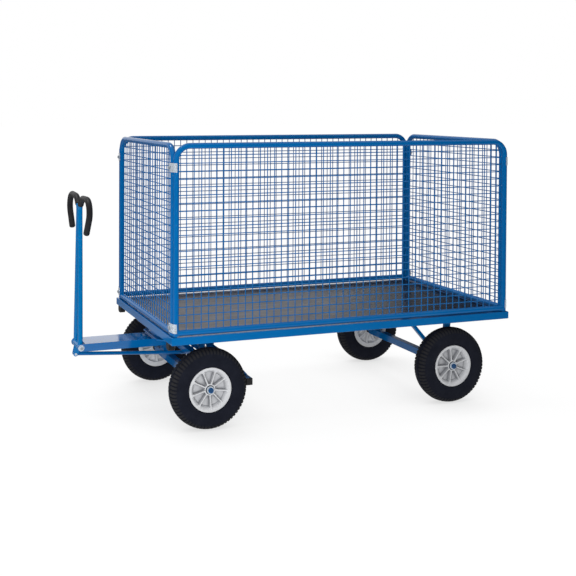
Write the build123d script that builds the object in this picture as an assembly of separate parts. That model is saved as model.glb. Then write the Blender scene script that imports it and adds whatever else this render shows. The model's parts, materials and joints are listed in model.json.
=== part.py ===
from build123d import *
import os
from math import acos, atan2, cos, degrees, radians, sin, sqrt

os.makedirs("parts", exist_ok=True)

# Platform hand cart with four wire-mesh walls, turntable steering and a parking brake worked by the drawbar.
# Millimetres, +Z up, drawbar towards -X, ground at Z = 0. Pieces are drawn about the middle of the deck and
# moved along X when they are written, so that the origin lies on the ground under the middle of the cart.

# Deck
DECK_LENGTH = 2000
DECK_WIDTH = 1040
DECK_CLEARANCE = 40
RIM_HEIGHT = 40
RIM_DEPTH = 30
RIM_GAUGE = 3
BOARD_THICKNESS = 15
BOARD_GAP = 5.5
CROSS_WIDTH = 40
CROSS_GAUGE = 2.5
FRONT_CROSS_GAP = 19
MIDDLE_CROSS_X = -90

# Wire walls
WALL_HEIGHT = 969
WALL_TUBE = 30
WALL_LIFT = 5
WALL_SETBACK = 5
BEND_RADIUS = 72
POST_STAGGER = 6
PEG_DIAMETER = 14
PEG_LENGTH = 35
WIRE_DIAMETER = 4
WIRE_SIDES = 6
WIRE_PITCH = 40

# Corner clips
CLIP_GAUGE = 2.5
CLIP_HEIGHT = 46
CLIP_TAB = 12
CLIP_LOW = 44
CLIP_DROP = 123
CLIP_BOLT = 8
CLIP_HEAD = 5.3
CLIP_HEAD_ACROSS = 13
CLIP_BOLT_LENGTH = 28

# Wheels and axles
TYRE_RADIUS = 208
TYRE_WIDTH = 100
TREAD_WIDTH = 72
SHOULDER_DROP = 12
GROOVE_SPACING = 24
GROOVE_WIDTH = 4
GROOVE_DEPTH = 6
WHEEL_TRACK = 890
FRONT_AXLE_SETBACK = 219
REAR_AXLE_SETBACK = 339
AXLE_SIZE = 40
AXLE_GAUGE = 4
STUB_DIAMETER = 25
BEAM_TO_TYRE = 10
RIM_RADIUS = 114
RIM_BARREL = 95
RIM_SKIN = 7
RIM_LIP = 4
LIP_BEVEL = 3
RIM_COVE = 6
RIM_SPAN = 88
HUB_RADIUS = 32
HUB_INNER = 35
HUB_OUTER = 37
WEB_INNER = 4
WEB_THICKNESS = 8
SPOKES = 9
SPOKE_WIDTH = 10
SPOKE_FLARE = 26
FLARE_LENGTH = 15
SPOKE_RECESS = 5
FRONT_SPOKE_TURN = 7
REAR_SPOKE_TURN = -19
BEARING_DIAMETER = 47
BEARING_WIDTH = 15
WASHER_DIAMETER = 44
WASHER_THICKNESS = 5
CAP_DIAMETER = 28
CAP_LENGTH = 16
STUB_IN_CAP = 12

# Rear trestle between deck and axle
TRESTLE_TO_TYRE = 22.5
BRACE_AHEAD = 210
BRACE_WIDTH = 26
STRUT_BEHIND = 50
STRUT_WIDTH = 34
TRESTLE_THICKNESS = 25

# Turntable
TABLE_MARGIN = 25
TABLE_PLATE = 8
TABLE_GAP = 0.5
BEARER_HEIGHT = 25
BEARER_WIDTH = 40
BEARER_GAUGE = 3
BEARER_TRACK = 310
BEARER_OVERHANG = 20
TABLE_CROSS_BEHIND = 150
RACE_OUTER = 160
RACE_WALL = 45
RACE_HEIGHT = 28.5
SKIRT_GAP = 6
SKIRT_WALL = 6
SKIRT_DEPTH = 15
TABLE_BOLT = 12
TABLE_BOLT_ACROSS = 19
TABLE_BOLT_HEAD = 7.5
TABLE_BOLT_LENGTH = 18
KING_PIN = 20
KING_HEAD = 32
KING_HEAD_HEIGHT = 10
KING_NUT_ACROSS = 30
KING_NUT_HEIGHT = 16

# Drawbar arm and bogie
ARM_HEIGHT = 41
ARM_WIDTH = 150
ARM_GAUGE = 4
ARM_NOSE_GAP = 4
ARM_TAIL = 81
BOGIE_PLATE = 8
BOGIE_MARGIN = 10
BOLSTER_WIDTH = 40
BOLSTER_HEIGHT = 30
BOLSTER_GAUGE = 3
BOLSTER_LENGTH = 660
PEDESTAL_TRACK = 500
PEDESTAL_WIDTH = 60
HINGE_AHEAD = 574
HINGE_BOLT = 16
HINGE_ACROSS = 24
HINGE_HEAD = 10
HINGE_NUT = 13
HINGE_FLANGE = 34
HINGE_FLANGE_THICKNESS = 3

# Handle
SLEEVE_DIAMETER = 36
LEG_DIAMETER = 27
LEG_SPREAD = 50
LEG_MEETING = 14.2
LEG_HEIGHT = 740
HANDLE_LEAN = 0.5
HORN_RISE_Y = 63
HORN_RISE = 792
HORN_OUTER_Y = 293
HORN_OUTER = 799
HORN_TIP_Y = 167
HORN_TIP = 619
HORN_BENDS = (40, 65, 65)
GRIP_WALL = 3
GRIP_END = 6
GRIP_START = 4

# Parking brake
LEVER_DROP = 46
LEVER_AHEAD = 16
LEVER_PLATE = 6
LEVER_PLAY = 1
LEVER_END = 12
BRAKE_PIN = 10
ROD_DIAMETER = 20
ROD_EYE = 22
BRAKE_SHAFT_BEHIND = 133
BRAKE_SHAFT_DROP = 44
BRAKE_SHAFT = 24
SHAFT_STAND_OUT = 7
BRAKE_ARM_TO_TYRE = 19
BRAKE_ARM_THICKNESS = 12
BRAKE_ARM_WIDTH = 30
BRAKE_ARM_EYE = 54
BRAKE_CRANK = 67
BRAKE_CRANK_PIN = 12
BRAKE_CRANK_PLATE = 6
BRAKE_BAR = 35
BRAKE_BAR_GAUGE = 3
BRAKE_BAR_RISE = 14
BRAKE_BAR_PAST = 5
BRAKE_BAR_GAP = 1.5
BAR_CAP = 10
BAR_CAP_PLUG = 15
STIRRUP_PLAY = 46
STIRRUP_HEIGHT = 38
STIRRUP_LIFT = 8
STIRRUP_TANG = 30
STIRRUP_WALL = 8
STIRRUP_THICKNESS = 10
BRACKET_TRACK = 260
BRACKET_THICKNESS = 10
BRACKET_WIDTH = 44

# Rubber buffers under the front corners
BUFFER_INSET = 65
BUFFER_LENGTH = 50
BUFFER_DEPTH = 30
BUFFER_TYRE_GAP = 5

# Clearances
SEAT = 0.3
RUNNING = 0.05
CUT_PAST = 1

# Levels and places worked out from the sizes above
half_length = DECK_LENGTH / 2
half_width = DECK_WIDTH / 2
rim_bottom = 2 * TYRE_RADIUS + DECK_CLEARANCE
deck_top = rim_bottom + RIM_HEIGHT
board_bottom = deck_top - BOARD_THICKNESS
wall_top = deck_top + WALL_HEIGHT
tube_r = WALL_TUBE / 2
side_plane = half_width - tube_r
end_plane = half_length - WALL_SETBACK - tube_r
side_post_x = end_plane - POST_STAGGER
end_post_y = side_plane - sqrt((WALL_TUBE + 2 * SEAT) ** 2 - POST_STAGGER**2)
rail_z = deck_top + WALL_LIFT + tube_r
crown_z = wall_top - tube_r
clip_levels = (deck_top + CLIP_LOW, wall_top - CLIP_DROP)
front_axle_x = FRONT_AXLE_SETBACK - half_length
rear_axle_x = half_length - REAR_AXLE_SETBACK
wheel_y = WHEEL_TRACK / 2
tyre_inner_y = wheel_y - TYRE_WIDTH / 2
beam_end = tyre_inner_y - BEAM_TO_TYRE
axle_top = TYRE_RADIUS + AXLE_SIZE / 2
bearer_bottom = rim_bottom - BEARER_HEIGHT
table_bottom = bearer_bottom - TABLE_PLATE
race_top = table_bottom - TABLE_GAP
bogie_top = race_top - RACE_HEIGHT
arm_top = bogie_top - BOGIE_PLATE
arm_bottom = arm_top - ARM_HEIGHT
hinge_x = front_axle_x - HINGE_AHEAD
hinge_z = arm_top - ARM_HEIGHT / 2
lever_pin = (hinge_x - LEVER_AHEAD, hinge_z - LEVER_DROP)
lever_gap = ROD_DIAMETER + 2 * LEVER_PLAY
bar_front_x = front_axle_x + TYRE_RADIUS + BRAKE_BAR_GAP
brake_bar_x = bar_front_x + BRAKE_BAR / 2
brake_bar_z = TYRE_RADIUS + BRAKE_BAR_RISE
brake_shaft_x = front_axle_x + BRAKE_SHAFT_BEHIND
brake_shaft_z = arm_top - BRAKE_SHAFT_DROP
crank_pin = (brake_shaft_x, brake_shaft_z - BRAKE_CRANK)
front_reach = LEVER_END - lever_pin[0]
rear_reach = end_plane + tube_r + SEAT + CLIP_GAUGE + CLIP_HEAD
deck_shift = (front_reach - rear_reach) / 2


def save(name, *pieces):
    """Writes one node, moved from the deck's own place to the cart's origin."""
    moved = [Pos(deck_shift, 0, 0) * solid for piece in pieces for solid in piece.solids()]
    export_step(moved[0] if len(moved) == 1 else Compound(moved), f"parts/{name}.step")


def both_sides(shape):
    """A piece on the far side and its mirror image on the near side."""
    return [shape, mirror(shape, about=Plane.XZ)]


def four_corners(shape):
    """A piece at the rear far corner, mirrored to the other three corners."""
    return [piece for side in both_sides(shape) for piece in (side, mirror(side, about=Plane.YZ))]


def span(x_from, x_to, y_from, y_to, z_from, z_to):
    """A block between two opposite corners."""
    block = Box(x_to - x_from, y_to - y_from, z_to - z_from, align=(Align.MIN, Align.MIN, Align.MIN))
    return Pos(x_from, y_from, z_from) * block


def rod_y(x, z, radius, y_from, y_to):
    """A round bar along Y."""
    return Pos(x, (y_from + y_to) / 2, z) * Rot(90, 0, 0) * Cylinder(radius, y_to - y_from)


def rod_z(x, y, radius, z_from, z_to):
    """An upright round bar."""
    return Pos(x, y, (z_from + z_to) / 2) * Cylinder(radius, z_to - z_from)


def plate_y(face, y_from, y_to):
    """A profile drawn in X and Z, made a plate between two values of Y."""
    return Pos(0, y_to, 0) * extrude(Plane.XZ * face, y_to - y_from, dir=(0, -1, 0))


def link_face(start, end, start_r, end_r):
    """The outline of a lever or strap with two rounded ends, drawn in X and Z."""
    run = Vector(*end) - Vector(*start)
    heading, splay = atan2(run.Y, run.X), acos((start_r - end_r) / run.length)
    left, right = heading + splay, heading - splay
    flank = [(start, start_r, right), (end, end_r, right), (end, end_r, left), (start, start_r, left)]
    corners = [(x + r * cos(angle), z + r * sin(angle)) for (x, z), r, angle in flank]
    return Polygon(*corners, align=None) + Pos(*start) * Circle(start_r) + Pos(*end) * Circle(end_r)


def hexagon(across, height):
    """A hexagonal bar standing on Z = 0."""
    return extrude(RegularPolygon(across / 2, 6, major_radius=False), height)


def hex_bolt(across, head, diameter, length):
    """A bolt along Z, with its head under Z = 0 and its shank above."""
    return Pos(0, 0, -head) * hexagon(across, head) + rod_z(0, 0, diameter / 2, 0, length)


def hex_nut(across, height, diameter):
    """A nut standing on Z = 0."""
    return hexagon(across, height) - rod_z(0, 0, diameter / 2 + RUNNING, -CUT_PAST, height + CUT_PAST)


# Deck: mitred rim tubes, plywood board and cross members
def rim_member(half_span, bores):
    """One mitred rim tube along X with its outer face on Y = 0, bored on top for the wall pegs."""
    def trapezoid(near, far):
        outer, inner = half_span - near, half_span - far
        return Polygon((-outer, near), (outer, near), (inner, far), (-inner, far), align=None)

    tube = extrude(trapezoid(0, RIM_DEPTH), RIM_HEIGHT)
    hollow = extrude(trapezoid(RIM_GAUGE, RIM_DEPTH - RIM_GAUGE), RIM_HEIGHT - 2 * RIM_GAUGE)
    tube -= Pos(0, 0, RIM_GAUGE) * hollow
    for x, y in bores:
        tube -= rod_z(x, y, PEG_DIAMETER / 2 + SEAT, RIM_HEIGHT / 2, RIM_HEIGHT + CUT_PAST)
    return Pos(0, 0, rim_bottom) * tube


side_bores = [(x, half_width - side_plane) for x in (-side_post_x, side_post_x)]
end_bores = [(y, half_length - end_plane) for y in (-end_post_y, end_post_y)]
side_member = Pos(0, -half_width, 0) * rim_member(half_length, side_bores)
end_member = Pos(-half_length, 0, 0) * Rot(0, 0, -90) * rim_member(half_width - SEAT, end_bores)
save("deck_rim", *both_sides(side_member), end_member, mirror(end_member, about=Plane.YZ))

board_x = half_length - RIM_DEPTH - BOARD_GAP
board_y = half_width - RIM_DEPTH - BOARD_GAP
save("deck_board", span(-board_x, board_x, -board_y, board_y, board_bottom, deck_top))

front_cross_x = RIM_DEPTH + FRONT_CROSS_GAP + CROSS_WIDTH / 2 - half_length
table_crosses = [front_cross_x, front_axle_x + TABLE_CROSS_BEHIND]
brace_top_x = rear_axle_x - BRACE_AHEAD
strut_top_x = rear_axle_x + STRUT_BEHIND
cross_y = half_width - RIM_DEPTH


def cross_member(x):
    """A rectangular tube between the side rims, under the board."""
    near, far = x - CROSS_WIDTH / 2, x + CROSS_WIDTH / 2
    tube = span(near, far, -cross_y, cross_y, rim_bottom, board_bottom)
    low, high = rim_bottom + CROSS_GAUGE, board_bottom - CROSS_GAUGE
    return tube - span(near + CROSS_GAUGE, far - CROSS_GAUGE, -cross_y, cross_y, low, high)


cross_places = table_crosses + [MIDDLE_CROSS_X, brace_top_x, strut_top_x]
save("cross_members", *[cross_member(x) for x in cross_places])

# Rubber buffers under the front rim, clear of the steered tyres
buffer_bottom = 2 * TYRE_RADIUS + BUFFER_TYRE_GAP
buffer_x = half_length - RIM_DEPTH / 2
buffer_y = half_width - BUFFER_INSET
buffer_block = span(-BUFFER_DEPTH / 2, BUFFER_DEPTH / 2, -BUFFER_LENGTH / 2, BUFFER_LENGTH / 2,
                    buffer_bottom, rim_bottom)
buffer_edges = buffer_block.edges().filter_by(Axis.X).group_by(Axis.Z)[0]
buffer_block = fillet(buffer_edges, BUFFER_DEPTH / 2)
save("corner_buffers", *both_sides(Pos(-buffer_x, buffer_y, 0) * buffer_block))


# Wire walls: a bent hoop with a bottom rail, pegged into the rim, and a welded mesh
def wall_frame(half_span, bolt_levels):
    """A hoop in the plane Y = 0 with its pegs, and the rail between its posts."""
    foot = deck_top + WALL_LIFT
    corners = [(-half_span, 0, foot), (-half_span, 0, crown_z), (half_span, 0, crown_z), (half_span, 0, foot)]
    path = FilletPolyline(*corners, radius=BEND_RADIUS)
    hoop = sweep(Plane(origin=path @ 0, z_dir=path % 0) * Circle(tube_r), path)
    rail = Pos(0, 0, rail_z) * Rot(0, 90, 0) * Cylinder(tube_r, 2 * half_span)
    for x in (-half_span, half_span):
        hoop += rod_z(x, 0, PEG_DIAMETER / 2, foot - PEG_LENGTH, foot)
        rail -= rod_z(x, 0, tube_r + SEAT, foot - CUT_PAST, foot + WALL_TUBE + CUT_PAST)
        for level in bolt_levels:
            hoop -= rod_y(x, level, CLIP_BOLT / 2 + SEAT, -WALL_TUBE, WALL_TUBE)
    return [hoop, rail]


def wall_mesh(half_span):
    """Crossed wires in the plane Y = 0, uprights outside and level wires inside, cut short of the hoop."""
    inside = tube_r + SEAT
    bend_in = BEND_RADIUS - inside
    bend_x, bend_z = half_span - BEND_RADIUS, crown_z - BEND_RADIUS
    bottom, layer = rail_z + inside, WIRE_DIAMETER / 2 + SEAT / 2
    profile = RegularPolygon(WIRE_DIAMETER / 2, WIRE_SIDES)

    def reach(off_centre, straight, turned):
        """How far a wire runs: to the straight tube, or to the bend where it ends in a corner."""
        if off_centre <= 0:
            return straight
        return turned + sqrt(bend_in**2 - (off_centre + WIRE_DIAMETER / 2) ** 2)

    wires = []
    columns = int(2 * (half_span - inside) / WIRE_PITCH)
    for i in range(columns):
        x = (i - (columns - 1) / 2) * WIRE_PITCH
        top = reach(abs(x) - bend_x, crown_z - inside, bend_z)
        wires.append(Pos(x, layer, bottom) * extrude(profile, top - bottom))
    rows = int((crown_z - inside - bottom) / WIRE_PITCH)
    for i in range(rows):
        z = (bottom + crown_z - inside) / 2 + (i - (rows - 1) / 2) * WIRE_PITCH
        half_wire = reach(z - bend_z, half_span - inside, bend_x)
        wires.append(Pos(-half_wire, -layer, z) * Rot(0, 90, 0) * extrude(profile, 2 * half_wire))
    return wires


side_frame = [Pos(0, side_plane, 0) * piece for piece in wall_frame(side_post_x, ())]
side_mesh = [Pos(0, side_plane, 0) * wire for wire in wall_mesh(side_post_x)]
end_turn = Pos(end_plane, 0, 0) * Rot(0, 0, -90)
end_frame = [end_turn * piece for piece in wall_frame(end_post_y, clip_levels)]
end_mesh = [end_turn * wire for wire in wall_mesh(end_post_y)]
save("far_wall_frame", *side_frame)
save("far_wall_mesh", *side_mesh)
save("near_wall_frame", *[mirror(piece, about=Plane.XZ) for piece in side_frame])
save("near_wall_mesh", *[mirror(wire, about=Plane.XZ) for wire in side_mesh])
save("rear_wall_frame", *end_frame)
save("rear_wall_mesh", *end_mesh)
save("front_wall_frame", *[mirror(piece, about=Plane.YZ) for piece in end_frame])
save("front_wall_mesh", *[mirror(wire, about=Plane.YZ) for wire in end_mesh])


# Corner clips: galvanised saddles round each pair of posts, bolted to the end post
def post_pair(grown):
    """The plan outline round the two posts of a corner, grown by a thickness."""
    side_post, end_post = Vector(side_post_x, side_plane), Vector(end_plane, end_post_y)
    apart, middle = end_post - side_post, (side_post + end_post) / 2
    slot = SlotCenterToCenter(apart.length, WALL_TUBE + 2 * grown)
    return Pos(middle) * Rot(0, 0, degrees(atan2(apart.Y, apart.X))) * slot


clip_reach = 2 * WALL_TUBE
outer_quarter = Rectangle(clip_reach, clip_reach, align=(Align.MIN, Align.MIN))
clip_plan = (post_pair(SEAT + CLIP_GAUGE) - post_pair(SEAT)) & Pos(side_post_x, end_post_y) * outer_quarter
clip_face = end_plane + tube_r + SEAT + CLIP_GAUGE
clip_plan += Pos(clip_face, end_post_y) * Rectangle(CLIP_GAUGE, CLIP_TAB, align=(Align.MAX, Align.MAX))
clips, bolts = [], []
for level in clip_levels:
    clip = Pos(0, 0, level - CLIP_HEIGHT / 2) * extrude(clip_plan, CLIP_HEIGHT)
    bolt_way = Pos(end_plane, end_post_y, level) * Rot(0, 90, 0)
    clip -= bolt_way * rod_z(0, 0, CLIP_BOLT / 2 + SEAT, 0, clip_reach)
    bolt = hex_bolt(CLIP_HEAD_ACROSS, CLIP_HEAD, CLIP_BOLT, CLIP_BOLT_LENGTH)
    clips += four_corners(clip)
    bolts += four_corners(Pos(clip_face, end_post_y, level) * Rot(0, -90, 0) * bolt)
save("corner_clips", *clips)
save("clip_bolts", *bolts)


# Axles: a square beam with turned stubs, washers and end caps
def axle(x):
    """A hollow square beam along Y, closed by its stub axles."""
    half = AXLE_SIZE / 2
    low, high = TYRE_RADIUS - half, TYRE_RADIUS + half
    hub_face = wheel_y - HUB_INNER - 2 * SEAT
    beam = span(x - half, x + half, -beam_end, beam_end, low, high)
    inner = half - AXLE_GAUGE
    bore_end = beam_end - AXLE_SIZE / 2
    beam -= span(x - inner, x + inner, -bore_end, bore_end, low + AXLE_GAUGE, high - AXLE_GAUGE)
    for side in (-1, 1):
        shoulder = sorted((side * beam_end, side * hub_face))
        stub = sorted((side * beam_end, side * stub_end))
        beam += rod_y(x, TYRE_RADIUS, STUB_DIAMETER / 2 + AXLE_GAUGE, *shoulder)
        beam += rod_y(x, TYRE_RADIUS, STUB_DIAMETER / 2, *stub)
    return beam


washer_face = wheel_y + HUB_OUTER + 2 * SEAT
cap_face = washer_face + WASHER_THICKNESS + SEAT
stub_end = cap_face + STUB_IN_CAP


def axle_washer(x):
    """The thick washer that holds a wheel on its stub, on the far side."""
    ring = rod_y(x, TYRE_RADIUS, WASHER_DIAMETER / 2, washer_face, washer_face + WASHER_THICKNESS)
    return ring - rod_y(x, TYRE_RADIUS, STUB_DIAMETER / 2 + RUNNING, 0, 2 * wheel_y)


def axle_cap(x):
    """The cap pushed over the end of a stub, on the far side."""
    cap = rod_y(x, TYRE_RADIUS, CAP_DIAMETER / 2, cap_face, cap_face + CAP_LENGTH)
    cap = chamfer(cap.edges().sort_by(Axis.Y)[-1], CAP_DIAMETER / 14)
    return cap - rod_y(x, TYRE_RADIUS, STUB_DIAMETER / 2 + RUNNING, 0, stub_end + SEAT)


for end, x in (("rear", rear_axle_x), ("front", front_axle_x)):
    save(f"{end}_axle", axle(x))
    save(f"{end}_axle_washers", *both_sides(axle_washer(x)))
    save(f"{end}_axle_caps", *both_sides(axle_cap(x)))


# Wheels: a pneumatic tyre on a moulded nine-spoke rim with two bearings, outer side towards +Y
def wheel_rim():
    """The moulded rim: hub, recessed web, barrel with a bevelled lip, and flared spokes on both sides."""
    lip_out = RIM_SPAN / 2
    lip_in = lip_out - RIM_LIP
    barrel_in = RIM_BARREL - RIM_SKIN
    bore = BEARING_DIAMETER / 2 + RUNNING
    web_out = WEB_INNER + WEB_THICKNESS
    profile = Polygon(
        (bore, -HUB_INNER), (HUB_RADIUS, -HUB_INNER), (HUB_RADIUS, WEB_INNER), (barrel_in, WEB_INNER),
        (barrel_in, -lip_out), (RIM_RADIUS, -lip_out), (RIM_RADIUS, -lip_in), (RIM_BARREL, -lip_in),
        (RIM_BARREL, lip_in), (RIM_RADIUS, lip_in), (RIM_RADIUS, lip_out), (RIM_BARREL + LIP_BEVEL, lip_out),
        (barrel_in, lip_in - RIM_LIP / 2), (barrel_in, web_out + 2 * RIM_COVE),
        (barrel_in - RIM_COVE, web_out), (HUB_RADIUS, web_out), (HUB_RADIUS, HUB_OUTER), (bore, HUB_OUTER),
        align=None)
    rim = revolve(profile, Axis.Y)
    hub_mid, rim_mid = HUB_RADIUS - RIM_SKIN / 2, barrel_in + RIM_SKIN / 2
    flare_from = rim_mid - FLARE_LENGTH
    plan = Polygon(
        (hub_mid, -SPOKE_WIDTH / 2), (flare_from, -SPOKE_WIDTH / 2), (rim_mid, -SPOKE_FLARE / 2),
        (rim_mid, SPOKE_FLARE / 2), (flare_from, SPOKE_WIDTH / 2), (hub_mid, SPOKE_WIDTH / 2), align=None)
    spoke_out, spoke_in = lip_out - SPOKE_RECESS, HUB_INNER - SPOKE_RECESS
    spoke = Pos(0, spoke_out, 0) * Rot(90, 0, 0) * extrude(plan, spoke_out + spoke_in)
    return rim + [Rot(0, i * 360 / SPOKES, 0) * spoke for i in range(SPOKES)]


def wheel_tyre():
    """The tyre: beads inside the rim lips, bulged sides and a rounded tread with two grooves."""
    bead, lip = RIM_SPAN / 2 - RIM_LIP - SEAT, RIM_RADIUS + SEAT
    side_y, tread_y = RIM_SPAN / 2, TREAD_WIDTH / 2
    shoulder = TYRE_RADIUS - SHOULDER_DROP
    bulge_r = (lip + shoulder) / 2
    seat_r = RIM_BARREL + SEAT
    seat = ((lip, side_y), (lip, bead), (seat_r, bead), (seat_r, -bead), (lip, -bead), (lip, -side_y))
    outline = Polyline(*seat)
    for side in (-1, 1):
        bulge = (bulge_r, side * TYRE_WIDTH / 2)
        outline += ThreePointArc((lip, side * side_y), bulge, (shoulder, side * tread_y))
    outline += ThreePointArc((shoulder, -tread_y), (TYRE_RADIUS, 0), (shoulder, tread_y))
    tyre = revolve(make_face(outline.edges()), Axis.Y)
    groove = Rectangle(2 * GROOVE_DEPTH, GROOVE_WIDTH)
    for side in (-1, 1):
        tyre -= revolve(Pos(TYRE_RADIUS, side * GROOVE_SPACING / 2) * groove, Axis.Y)
    return tyre


def wheel_bearings():
    """The two bearing rings pressed into the ends of the hub."""
    bore = STUB_DIAMETER / 2 + RUNNING
    rings = []
    for low in (-HUB_INNER, HUB_OUTER - BEARING_WIDTH):
        ring = rod_y(0, 0, BEARING_DIAMETER / 2, low, low + BEARING_WIDTH)
        rings.append(ring - rod_y(0, 0, bore, low - CUT_PAST, low + BEARING_WIDTH + CUT_PAST))
    return Compound(rings)


wheel_pieces = {"tyre": wheel_tyre(), "rim": wheel_rim(), "bearings": wheel_bearings()}
for end, x, turn in (("front", front_axle_x, FRONT_SPOKE_TURN), ("rear", rear_axle_x, REAR_SPOKE_TURN)):
    for piece, shape in wheel_pieces.items():
        far = Pos(x, wheel_y, TYRE_RADIUS) * Rot(0, turn, 0) * shape
        save(f"{end}_far_{piece}", far)
        save(f"{end}_near_{piece}", mirror(far, about=Plane.XZ))

# Rear trestle: a slanting brace and a strut on each side
trestle_y = tyre_inner_y - TRESTLE_TO_TYRE - TRESTLE_THICKNESS


def leaning_bar(top_x, foot_x, width):
    """A bar from the deck frame to the axle, cut level at both ends."""
    half = width / 2
    face = Polygon((top_x - half, rim_bottom), (top_x + half, rim_bottom),
                   (foot_x + half, axle_top), (foot_x - half, axle_top), align=None)
    return plate_y(face, trestle_y, trestle_y + TRESTLE_THICKNESS)


brace_foot_x = rear_axle_x - AXLE_SIZE / 2 + BRACE_WIDTH / 2
strut_foot_x = brace_foot_x + (BRACE_WIDTH + STRUT_WIDTH) / 2 + SEAT
save("rear_braces", *both_sides(leaning_bar(brace_top_x, brace_foot_x, BRACE_WIDTH)))
save("rear_struts", *both_sides(leaning_bar(strut_top_x, strut_foot_x, STRUT_WIDTH)))


# Turntable: bearers, top plate with skirt, race ring and king pin
def bearer():
    """A rectangular tube under the two front cross members, on the far side."""
    mid = BEARER_TRACK / 2
    near, far = mid - BEARER_WIDTH / 2, mid + BEARER_WIDTH / 2
    x_from = table_crosses[0] - CROSS_WIDTH / 2 - BEARER_OVERHANG
    x_to = table_crosses[1] + CROSS_WIDTH / 2 + BEARER_OVERHANG
    tube = span(x_from, x_to, near, far, bearer_bottom, rim_bottom)
    low, high = bearer_bottom + BEARER_GAUGE, rim_bottom - BEARER_GAUGE
    tube -= span(x_from, x_to, near + BEARER_GAUGE, far - BEARER_GAUGE, low, high)
    for x in table_bolt_x:
        tube -= rod_z(x, mid, TABLE_BOLT / 2 + SEAT, bearer_bottom - CUT_PAST,
                      bearer_bottom + BEARER_HEIGHT / 2)
    return tube


table_bolt_x = [front_axle_x + side * BEARER_TRACK / 2 for side in (-1, 1)]
save("turntable_bearers", *both_sides(bearer()))

half_table = BEARER_TRACK / 2 + TABLE_MARGIN
table = span(front_axle_x - half_table, front_axle_x + half_table, -half_table, half_table,
             table_bottom, bearer_bottom)
skirt_low = table_bottom - SKIRT_DEPTH
skirt_inner = RACE_OUTER + SKIRT_GAP
skirt = rod_z(front_axle_x, 0, skirt_inner + SKIRT_WALL, skirt_low, table_bottom)
table += skirt - rod_z(front_axle_x, 0, skirt_inner, skirt_low, table_bottom)
table -= rod_z(front_axle_x, 0, KING_PIN / 2 + RUNNING, skirt_low, bearer_bottom + CUT_PAST)
table_bolts = []
for x in table_bolt_x:
    for y in (-BEARER_TRACK / 2, BEARER_TRACK / 2):
        table -= rod_z(x, y, TABLE_BOLT / 2 + SEAT, table_bottom - CUT_PAST, bearer_bottom + CUT_PAST)
        bolt = hex_bolt(TABLE_BOLT_ACROSS, TABLE_BOLT_HEAD, TABLE_BOLT, TABLE_BOLT_LENGTH)
        table_bolts.append(Pos(x, y, table_bottom) * bolt)
save("turntable_plate", table)
save("turntable_bolts", *table_bolts)

race = rod_z(front_axle_x, 0, RACE_OUTER, bogie_top, race_top)
save("turntable_race", race - rod_z(front_axle_x, 0, RACE_OUTER - RACE_WALL, bogie_top, race_top))

king_nut_top = arm_top - ARM_GAUGE - SEAT
king_nut_low = king_nut_top - KING_NUT_HEIGHT
king_pin = rod_z(front_axle_x, 0, KING_PIN / 2, king_nut_low, bearer_bottom)
king_pin += rod_z(front_axle_x, 0, KING_HEAD / 2, bearer_bottom, bearer_bottom + KING_HEAD_HEIGHT)
save("king_pin", king_pin)
king_nut = hex_nut(KING_NUT_ACROSS, KING_NUT_HEIGHT, KING_PIN)
save("king_nut", Pos(front_axle_x, 0, king_nut_low) * king_nut)

# Drawbar arm: an inverted channel whose sides run on to the handle hinge
arm_y = ARM_WIDTH / 2
ear_r = ARM_HEIGHT / 2
arm_front_x = hinge_x + SLEEVE_DIAMETER / 2 + ARM_NOSE_GAP
arm_rear_x = front_axle_x + ARM_TAIL
arm = span(arm_front_x, arm_rear_x, -arm_y, arm_y, arm_top - ARM_GAUGE, arm_top)
flange_face = Pos((hinge_x + arm_rear_x) / 2, hinge_z) * Rectangle(arm_rear_x - hinge_x, ARM_HEIGHT)
flange_face += Pos(hinge_x, hinge_z) * Circle(ear_r)
flange_face -= Pos(hinge_x, hinge_z) * Circle(HINGE_BOLT / 2 + RUNNING)
for flange in both_sides(plate_y(flange_face, arm_y - ARM_GAUGE, arm_y)):
    arm += flange
arm -= rod_z(front_axle_x, 0, KING_PIN / 2 + RUNNING, arm_bottom, arm_top + CUT_PAST)
save("drawbar_arm", arm)

half_bogie = RACE_OUTER + BOGIE_MARGIN
bogie_plate = span(front_axle_x - half_bogie, front_axle_x + half_bogie, -half_bogie, half_bogie,
                   arm_top, bogie_top)
bogie_plate = chamfer(bogie_plate.edges().filter_by(Axis.Z), (2 * half_bogie - ARM_WIDTH) / 4)
bogie_plate -= rod_z(front_axle_x, 0, KING_PIN / 2 + RUNNING, arm_top - CUT_PAST, bogie_top + CUT_PAST)
save("bogie_plate", bogie_plate)

half_bolster = BOLSTER_WIDTH / 2
bolster_low = arm_bottom - BOLSTER_HEIGHT
bolster_y = BOLSTER_LENGTH / 2
bolster = span(front_axle_x - half_bolster, front_axle_x + half_bolster, -bolster_y, bolster_y,
               bolster_low, arm_bottom)
bolster_in = half_bolster - BOLSTER_GAUGE
save("bolster", bolster - span(front_axle_x - bolster_in, front_axle_x + bolster_in, -bolster_y, bolster_y,
                               bolster_low + BOLSTER_GAUGE, arm_bottom - BOLSTER_GAUGE))

pedestal_y = (PEDESTAL_TRACK - PEDESTAL_WIDTH) / 2
pedestal = span(front_axle_x - half_bolster, front_axle_x + half_bolster,
                pedestal_y, pedestal_y + PEDESTAL_WIDTH, axle_top, bolster_low)
save("pedestals", *both_sides(pedestal))

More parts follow.
